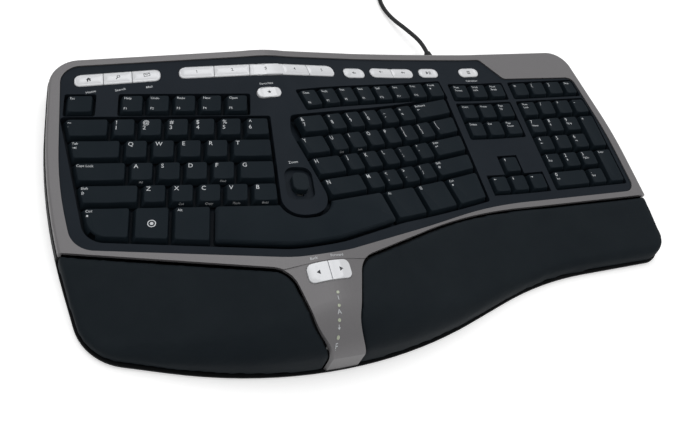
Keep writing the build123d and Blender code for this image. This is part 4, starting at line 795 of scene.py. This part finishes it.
def printMesh(name, stamps, material, body):
    """One mesh of all stamps: shape, height of the letters, place of the lower left corner, turn, surface."""
    made = bmesh.new()
    for shape, size, x, y, turn, tree in stamps:
        flat = bmesh.new()
        place = Vector((x, y))
        corners = [flat.verts.new((*(place + turnedSpot(Vector(point) * size, turn)), 0)) for point in shape["points"]]
        for face in shape["faces"]:
            flat.faces.new([corners[i] for i in face])
        bmesh.ops.triangulate(flat, faces=flat.faces[:])
        for _ in range(3):
            wide = [edge for edge in flat.edges if edge.calc_length() > printFacet]
            if wide:
                bmesh.ops.subdivide_edges(flat, edges=wide, cuts=1)
                bmesh.ops.triangulate(flat, faces=flat.faces[:])
        heights = [heightOn(tree, vertex.co.x, vertex.co.y) for vertex in flat.verts]
        known = [z for z in heights if z is not None]
        moved = {}
        for vertex, z in zip(flat.verts, heights):
            level = (max(known) if z is None else z) + printLift
            moved[vertex] = made.verts.new((vertex.co.x, vertex.co.y, level))
        for face in flat.faces:
            corners = [moved[vertex] for vertex in face.verts]
            if made.faces.get(corners) is None:
                made.faces.new(corners)
        flat.free()
    for face in made.faces:
        face.normal_update()
        if face.normal.z < 0:
            face.normal_flip()
    mesh = bpy.data.meshes.new(name)
    made.to_mesh(mesh)
    made.free()
    mesh.materials.append(material)
    piece = bpy.data.objects.new(name, mesh)
    scene.collection.objects.link(piece)
    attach(piece, body)
    return piece


# Key legends: for each key its lines from the back, small words and large signs

leftTurn = math.radians(-13.4)
rightTurn = math.radians(12.0)
legendSize = {
    "sign": 3.3 * mm,
    "word": 1.9 * mm,
    "icon": 2.6 * mm,
    "mark": 5.72 * mm,
    "line": 1.5 * mm,       # space between lines
    "side": 2.9 * mm,       # from the cap's foot to the print
    "back": 2.7 * mm,
    "front": 3.2 * mm,
}
keyLegends = {
    "function_keys_left": (leftTurn, [["Esc"], ["Help", "|F1"], ["Undo", "|F2"], ["Redo", "|F3"], ["New", "|F4"],
                                      ["Open", "|F5"]]),
    "number_keys_left": (leftTurn, [["~", "`"], ["!", "1"], ["@", "2"], ["#", "3"], ["$", "4"], ["%", "5"],
                                    ["^", "6"]]),
    "upper_keys_left": (leftTurn, [["Tab", "*tab"], ["Q"], ["W"], ["E"], ["R"], ["T"]]),
    "home_keys_left": (leftTurn, [["Caps Lock"], ["A"], ["S"], ["D"], ["F"], ["G"]]),
    "lower_keys_left": (leftTurn, [["Shift", "*shift"], ["Z"], ["X"], ["C"], ["V"], ["B"]]),
    "modifier_keys_left": (leftTurn, [["Ctrl", "*dot"], ["*mark"], ["Alt"]]),
    "function_keys_right": (None, [["Close", "|F6"], ["Reply", "|F7"], ["Fwd", "|F8"], ["Send", "|F9"],
                                   ["Spell", "|F10"], ["Save", "|F11"], ["Print", "|F12"], ["F Lock", "*dot"]]),
    "number_keys_right": (rightTurn, [["&", "7"], ["*", "8"], ["(", "9"], [")", "0"], ["_", "-"], ["+", "="],
                                      ["Backspace", "*arrowLeft"]]),
    "upper_keys_right": (rightTurn, [["Y"], ["U"], ["I"], ["O"], ["P"], ["{", "["], ["}", "]"], ["|", "\\"]]),
    "home_keys_right": (rightTurn, [["H"], ["J"], ["K"], ["L"], [":", ";"], ["\"", "'"], ["Enter", "*bend"]]),
    "lower_keys_right": (rightTurn, [["N"], ["M"], ["<", ","], [">", "."], ["?", "/"], ["Shift", "*shift"]]),
    "modifier_keys_right": (rightTurn, [["Alt"], ["*menu"], ["Ctrl", "*dot"]]),
    "system_keys": (0.0, [["Print", "Screen"], ["Scroll", "Lock"], ["Pause", "Break"], ["="], ["("], [")"],
                          ["Bksp"]]),
    "navigation_keys": (0.0, [["Insert"], ["Home"], ["Page", "Up"], ["Delete"], ["End"], ["Page", "Down"]]),
    "arrow_keys": (0.0, [["*arrowUp"], ["*arrowLeft"], ["*arrowDown"], ["*arrowRight"]]),
    "number_pad_upper_keys": (0.0, [["Num", "Lock"], ["/"], ["*"], ["-"], ["7", "Home"], ["8", "*arrowUp"],
                                    ["9", "PgUp"]]),
    "number_pad_lower_keys": (0.0, [["4", "*arrowLeft"], ["5"], ["6", "*arrowRight"], ["1", "End"],
                                    ["2", "*arrowDown"], ["3", "PgDn"], ["0", "Ins"], [".", "Del"]]),
    "number_pad_tall_keys": (0.0, [["+"], ["Enter"]]),
}
arcTurn = {"first": 13.5, "step": 1.1}      # degrees, of the function keys on the arc
frontWords = {
    "home_keys_left": {1: "All", 4: "Find"},
    "lower_keys_left": {2: "Cut", 3: "Copy", 4: "Paste", 5: "Bold"},
    "upper_keys_right": {1: "Line", 2: "Italic"},
}
frontSize = {
    "word": 1.7 * mm,
    "squash": 0.28,       # the face is steep, so the words are short as seen from above
    "foot": 0.75 * mm,
}


def frontStamp(words, box, turn, tree):
    """A word on the steep face towards the user."""
    shape = wordShape(words)
    short = dict(shape, points=[(x, y * frontSize["squash"]) for x, y in shape["points"]])
    along = (box[0] + box[1] - shape["width"] * frontSize["word"]) / 2
    place = turnedSpot((along, box[2] + frontSize["foot"]), turn)
    return short, frontSize["word"], place.x, place.y, turn, tree


def solidBoxes(node, turn):
    """Extent of each separate solid of a node along and across a turned direction."""
    mesh = nodes[node].data
    leader = {}
    keyOf = [tuple(round(c / (0.001 * mm)) for c in v.co) for v in mesh.vertices]

    def top(item):
        while leader.setdefault(item, item) != item:
            leader[item] = leader[leader[item]]
            item = leader[item]
        return item

    for face in mesh.polygons:
        first, *others = [top(keyOf[i]) for i in face.vertices]
        for other in others:
            leader[top(other)] = top(first)
    cosTurn, sinTurn = math.cos(turn), math.sin(turn)
    groups = {}
    for vertex, key in zip(mesh.vertices, keyOf):
        x, y, _ = vertex.co
        groups.setdefault(top(key), []).append((x * cosTurn + y * sinTurn, y * cosTurn - x * sinTurn))
    boxes = []
    for spots in groups.values():
        along = [a for a, _ in spots]
        across = [b for _, b in spots]
        boxes.append((min(along), max(along), min(across), max(across)))
    return boxes


def inReadingOrder(boxes):
    backmost = max(box[3] for box in boxes)
    return sorted(boxes, key=lambda box: (round((backmost - box[3]) / keyPitch), box[0]))


def lineSize(name):
    if name.startswith("*") and len(name) > 1:
        return legendSize["icon"]
    return legendSize["sign"] if len(name) == 1 else legendSize["word"]


def legendStamps(lines, box, turn, tree):
    low, high, front, back = box
    stamps = []
    level = back - legendSize["back"]
    for name in lines:
        atFront = name.startswith("|") and len(name) > 1
        name = name[1:] if atFront else name
        single = len(lines) == 1 and name == "*mark"
        size = legendSize["mark"] if single else lineSize(name)
        shape = shapeNamed(name) if name != "*" else wordShape("*")
        along = (low + high - shape["width"] * size) / 2 if single else low + legendSize["side"]
        level = front + legendSize["front"] + size if atFront else level
        across = (front + back - size) / 2 if single else level - size
        place = turnedSpot((along, across), turn)
        stamps.append((shape, size, place.x, place.y, turn, tree))
        level -= size + legendSize["line"]
    return stamps


def makeLegends():
    for node, (turn, rows) in keyLegends.items():
        tree = surfaceOf(node)
        stamps = []
        if turn is None:
            for i, lines in enumerate(rows):
                keyTurn = math.radians(arcTurn["first"] - arcTurn["step"] * i)
                boxes = sorted(solidBoxes(node, keyTurn))
                stamps += legendStamps(lines, boxes[i], keyTurn, tree)
        else:
            boxes = inReadingOrder(solidBoxes(node, turn))
            if len(boxes) != len(rows):
                print("keys found", len(boxes), "of", len(rows), "in", node)
            for lines, box in zip(rows, boxes):
                stamps += legendStamps(lines, box, turn, tree)
            stamps += [frontStamp(words, boxes[i], turn, tree) for i, words in frontWords.get(node, {}).items()]
        printMesh(node + "_print", stamps, materials["legendWhite"], node)


makeLegends()
print("key legends done")


# Signs on the hot keys, and words on the deck and tongue beside them

hotSigns = {
    "home_page_key": "*house", "search_key": "*lens", "mail_key": "*letter",
    "favourite_key_1": "1", "favourite_key_2": "2", "favourite_key_3": "3", "favourite_key_4": "4",
    "favourite_key_5": "5", "favourites_key": "*star", "mute_key": "*quiet", "volume_down_key": "*lower",
    "volume_up_key": "*louder", "play_pause_key": "*playPause", "calculator_key": "*sums",
    "back_key": "*backward", "forward_key": "*forward",
}
deckWords = {
    "home_page_key": ("Home", "below"), "search_key": ("Search", "below"), "mail_key": ("Mail", "below"),
    "favourites_key": ("Favorites", "above"), "calculator_key": ("Calculator", "below"),
    "back_key": ("Back", "above"), "forward_key": ("Forward", "above"), "slider_housing": ("Zoom", "above"),
}
signSize = {
    "hot": 3.4 * mm,
    "digit": 2.6 * mm,
    "word": 2.0 * mm,
    "gap": 2.2 * mm,
}


def makeSigns(size):
    for node, name in hotSigns.items():
        low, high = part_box(node)
        height = size["digit"] if len(name) == 1 else size["hot"]
        shape = shapeNamed(name)
        x = (low.x + high.x - shape["width"] * height) / 2
        y = (low.y + high.y - height) / 2
        printMesh(node + "_sign", [(shape, height, x, y, 0.0, surfaceOf(node))], materials["iconDark"], node)
    stamps = []
    trees = {"deck": surfaceOf("key_deck"), "tongue": surfaceOf("top_case")}
    for node, (words, side) in deckWords.items():
        low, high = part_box(node)
        shape = wordShape(words)
        tree = trees["tongue" if node in ("back_key", "forward_key") else "deck"]
        x = (low.x + high.x - shape["width"] * size["word"]) / 2
        y = high.y + size["gap"] if side == "above" else low.y - size["gap"] - size["word"]
        stamps.append((shape, size["word"], x, y, 0.0, tree))
    printMesh("deck_words", stamps, materials["legendWhite"], "base")


makeSigns(signSize)


# Signs beside the lamps on the tongue

lampSigns = {
    "names": ["1", "A", "*arrowDown", "F"],
    "size": 3.0 * mm,
    "ahead": 4.0 * mm,
}


def makeLampSigns(values):
    boxes = sorted(solidBoxes("indicator_lenses", 0.0), key=lambda box: -box[3])
    tree = surfaceOf("top_case")
    first, last = boxes[0], boxes[-1]
    run = Vector((last[0] - first[0], last[2] - first[2])).normalized()
    stamps = []
    for name, box in zip(values["names"], boxes):
        shape = shapeNamed(name)
        middleX = (box[0] + box[1]) / 2 + run.x * values["ahead"]
        middleY = (box[2] + box[3]) / 2 + run.y * values["ahead"]
        x = middleX - shape["width"] * values["size"] / 2
        stamps.append((shape, values["size"], x, middleY - values["size"] / 2, 0.0, tree))
    printMesh("lamp_signs", stamps, materials["legendWhite"], "base")


makeLampSigns(lampSigns)
print("signs done")


# Palm pads: soft covers puffed by a cloth simulation inside the space of the solids

pads = {
    "palm_pad_left": {"piece": "palm_cover_left", "voxel": 2.2 * mm},
    "palm_pad_right": {"piece": "palm_cover_right", "voxel": 2.2 * mm},
}
padSize = {
    "drawIn": 0.5 * mm,       # the simulation starts this much smaller
    "swell": 0.5 * mm,        # and moves no point further than this
    "pressure": 4.0,
    "frames": 20,
}


def puffed(made, size):
    """Swells a closed mesh under pressure and keeps every point near where it was."""
    start = [v.co.copy() for v in made.data.vertices]
    cloth = made.modifiers.new("cloth", "CLOTH")
    cloth.settings.quality = 5
    cloth.settings.use_pressure = True
    cloth.settings.uniform_pressure_force = size["pressure"]
    cloth.settings.effector_weights.gravity = 0
    cloth.settings.tension_stiffness = 15
    cloth.settings.compression_stiffness = 15
    cloth.settings.shear_stiffness = 5
    cloth.point_cache.frame_start = 1
    cloth.point_cache.frame_end = size["frames"]
    for step in range(1, size["frames"] + 1):
        scene.frame_set(step)
    swollen = appliedMesh(made, made.name)
    for vertex, before in zip(swollen.vertices, start):
        move = vertex.co - before
        if move.length > size["swell"]:
            vertex.co = before + move.normalized() * size["swell"]
    swapMesh(made, swollen)
    scene.frame_set(1)


def makePad(node, values, size):
    made = mergedCopy(node, values["piece"])
    remesh = made.modifiers.new("remesh", "REMESH")
    remesh.mode = "VOXEL"
    remesh.voxel_size = values["voxel"]
    swapMesh(made, appliedMesh(made, values["piece"]))
    relax = made.modifiers.new("relax", "SMOOTH")
    relax.factor = 0.5
    relax.iterations = 3
    inward = made.modifiers.new("inward", "DISPLACE")
    inward.mid_level = 0
    inward.strength = -size["drawIn"]
    swapMesh(made, appliedMesh(made, values["piece"]))
    puffed(made, size)
    finer = made.modifiers.new("finer", "SUBSURF")
    finer.levels = 1
    finer.render_levels = 1
    swapMesh(made, appliedMesh(made, values["piece"]))
    for face in made.data.polygons:
        face.use_smooth = True
    made.data.materials.clear()
    made.data.materials.append(materials["palmCover"])
    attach(made, "base")
    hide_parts(node)


for padNode, padValues in pads.items():
    makePad(padNode, padValues, padSize)
print("palm pads done")


# Floor and light

studio = {
    "floorSize": 8.0,
    "floorColour": 0.86,
    "floorGlow": 0.42,
    "skyStrength": 1.0,
    "horizonStrength": 0.15,
    "softbox": {"place": (0.0, 1.0, 2.1), "size": 2.2, "power": 14.0},
}


def seenDirectly(tree):
    """One for rays that show the background: from the camera, in reflections and through glass."""
    path = tree.nodes.new("ShaderNodeLightPath")
    total = None
    for name in ("Is Camera Ray", "Is Glossy Ray", "Is Transmission Ray"):
        if total is None:
            total = path.outputs[name]
            continue
        both = tree.nodes.new("ShaderNodeMath")
        both.operation = "MAXIMUM"
        tree.links.new(total, both.inputs[0])
        tree.links.new(path.outputs[name], both.inputs[1])
        total = both.outputs[0]
    return total


def makeFloor(values):
    half = values["floorSize"] / 2
    mesh = bpy.data.meshes.new("floor")
    mesh.from_pydata([(-half, -half, 0), (half, -half, 0), (half, half, 0), (-half, half, 0)], [], [(0, 1, 2, 3)])
    made = bpy.data.objects.new("floor", mesh)
    scene.collection.objects.link(made)
    material, tree, shader = shaderTree("paleFloor")
    shader.inputs["Base Color"].default_value = (values["floorColour"],) * 3 + (1,)
    shader.inputs["Roughness"].default_value = 0.9
    shader.inputs["Specular IOR Level"].default_value = 0.0
    shader.inputs["Emission Color"].default_value = (1, 1, 1, 1)
    glow = tree.nodes.new("ShaderNodeMath")
    glow.operation = "MULTIPLY"
    glow.inputs[1].default_value = values["floorGlow"]
    tree.links.new(seenDirectly(tree), glow.inputs[0])
    tree.links.new(glow.outputs[0], shader.inputs["Emission Strength"])
    mesh.materials.append(material)


def makeWorld(values):
    """Even light from above that falls off towards the horizon; seen directly it is white."""
    world = bpy.data.worlds.new("studio")
    world.use_nodes = True
    tree = world.node_tree
    background = tree.nodes["Background"]
    background.inputs["Color"].default_value = (1, 1, 1, 1)
    direction = tree.nodes.new("ShaderNodeTexCoord")
    split = tree.nodes.new("ShaderNodeSeparateXYZ")
    tree.links.new(direction.outputs["Generated"], split.inputs["Vector"])
    sky = tree.nodes.new("ShaderNodeMapRange")
    sky.inputs["To Min"].default_value = values["horizonStrength"]
    sky.inputs["To Max"].default_value = values["skyStrength"]
    tree.links.new(split.outputs["Z"], sky.inputs["Value"])
    level = tree.nodes.new("ShaderNodeMapRange")
    level.inputs["To Max"].default_value = 1.0
    tree.links.new(seenDirectly(tree), level.inputs["Value"])
    tree.links.new(sky.outputs["Result"], level.inputs["To Min"])
    tree.links.new(level.outputs["Result"], background.inputs["Strength"])
    scene.world = world


def makeLamp(name, values, target=(0, 0, 0.03)):
    data = bpy.data.lights.new(name, "AREA")
    data.shape = "DISK"
    data.size = values["size"]
    data.energy = values["power"]
    made = bpy.data.objects.new(name, data)
    made.location = values["place"]
    made.rotation_euler = (Vector(target) - Vector(values["place"])).to_track_quat("-Z", "Y").to_euler()
    scene.collection.objects.link(made)


makeFloor(studio)
makeWorld(studio)
makeLamp("softbox", studio["softbox"])
scene.view_settings.view_transform = "Standard"
print("studio done")
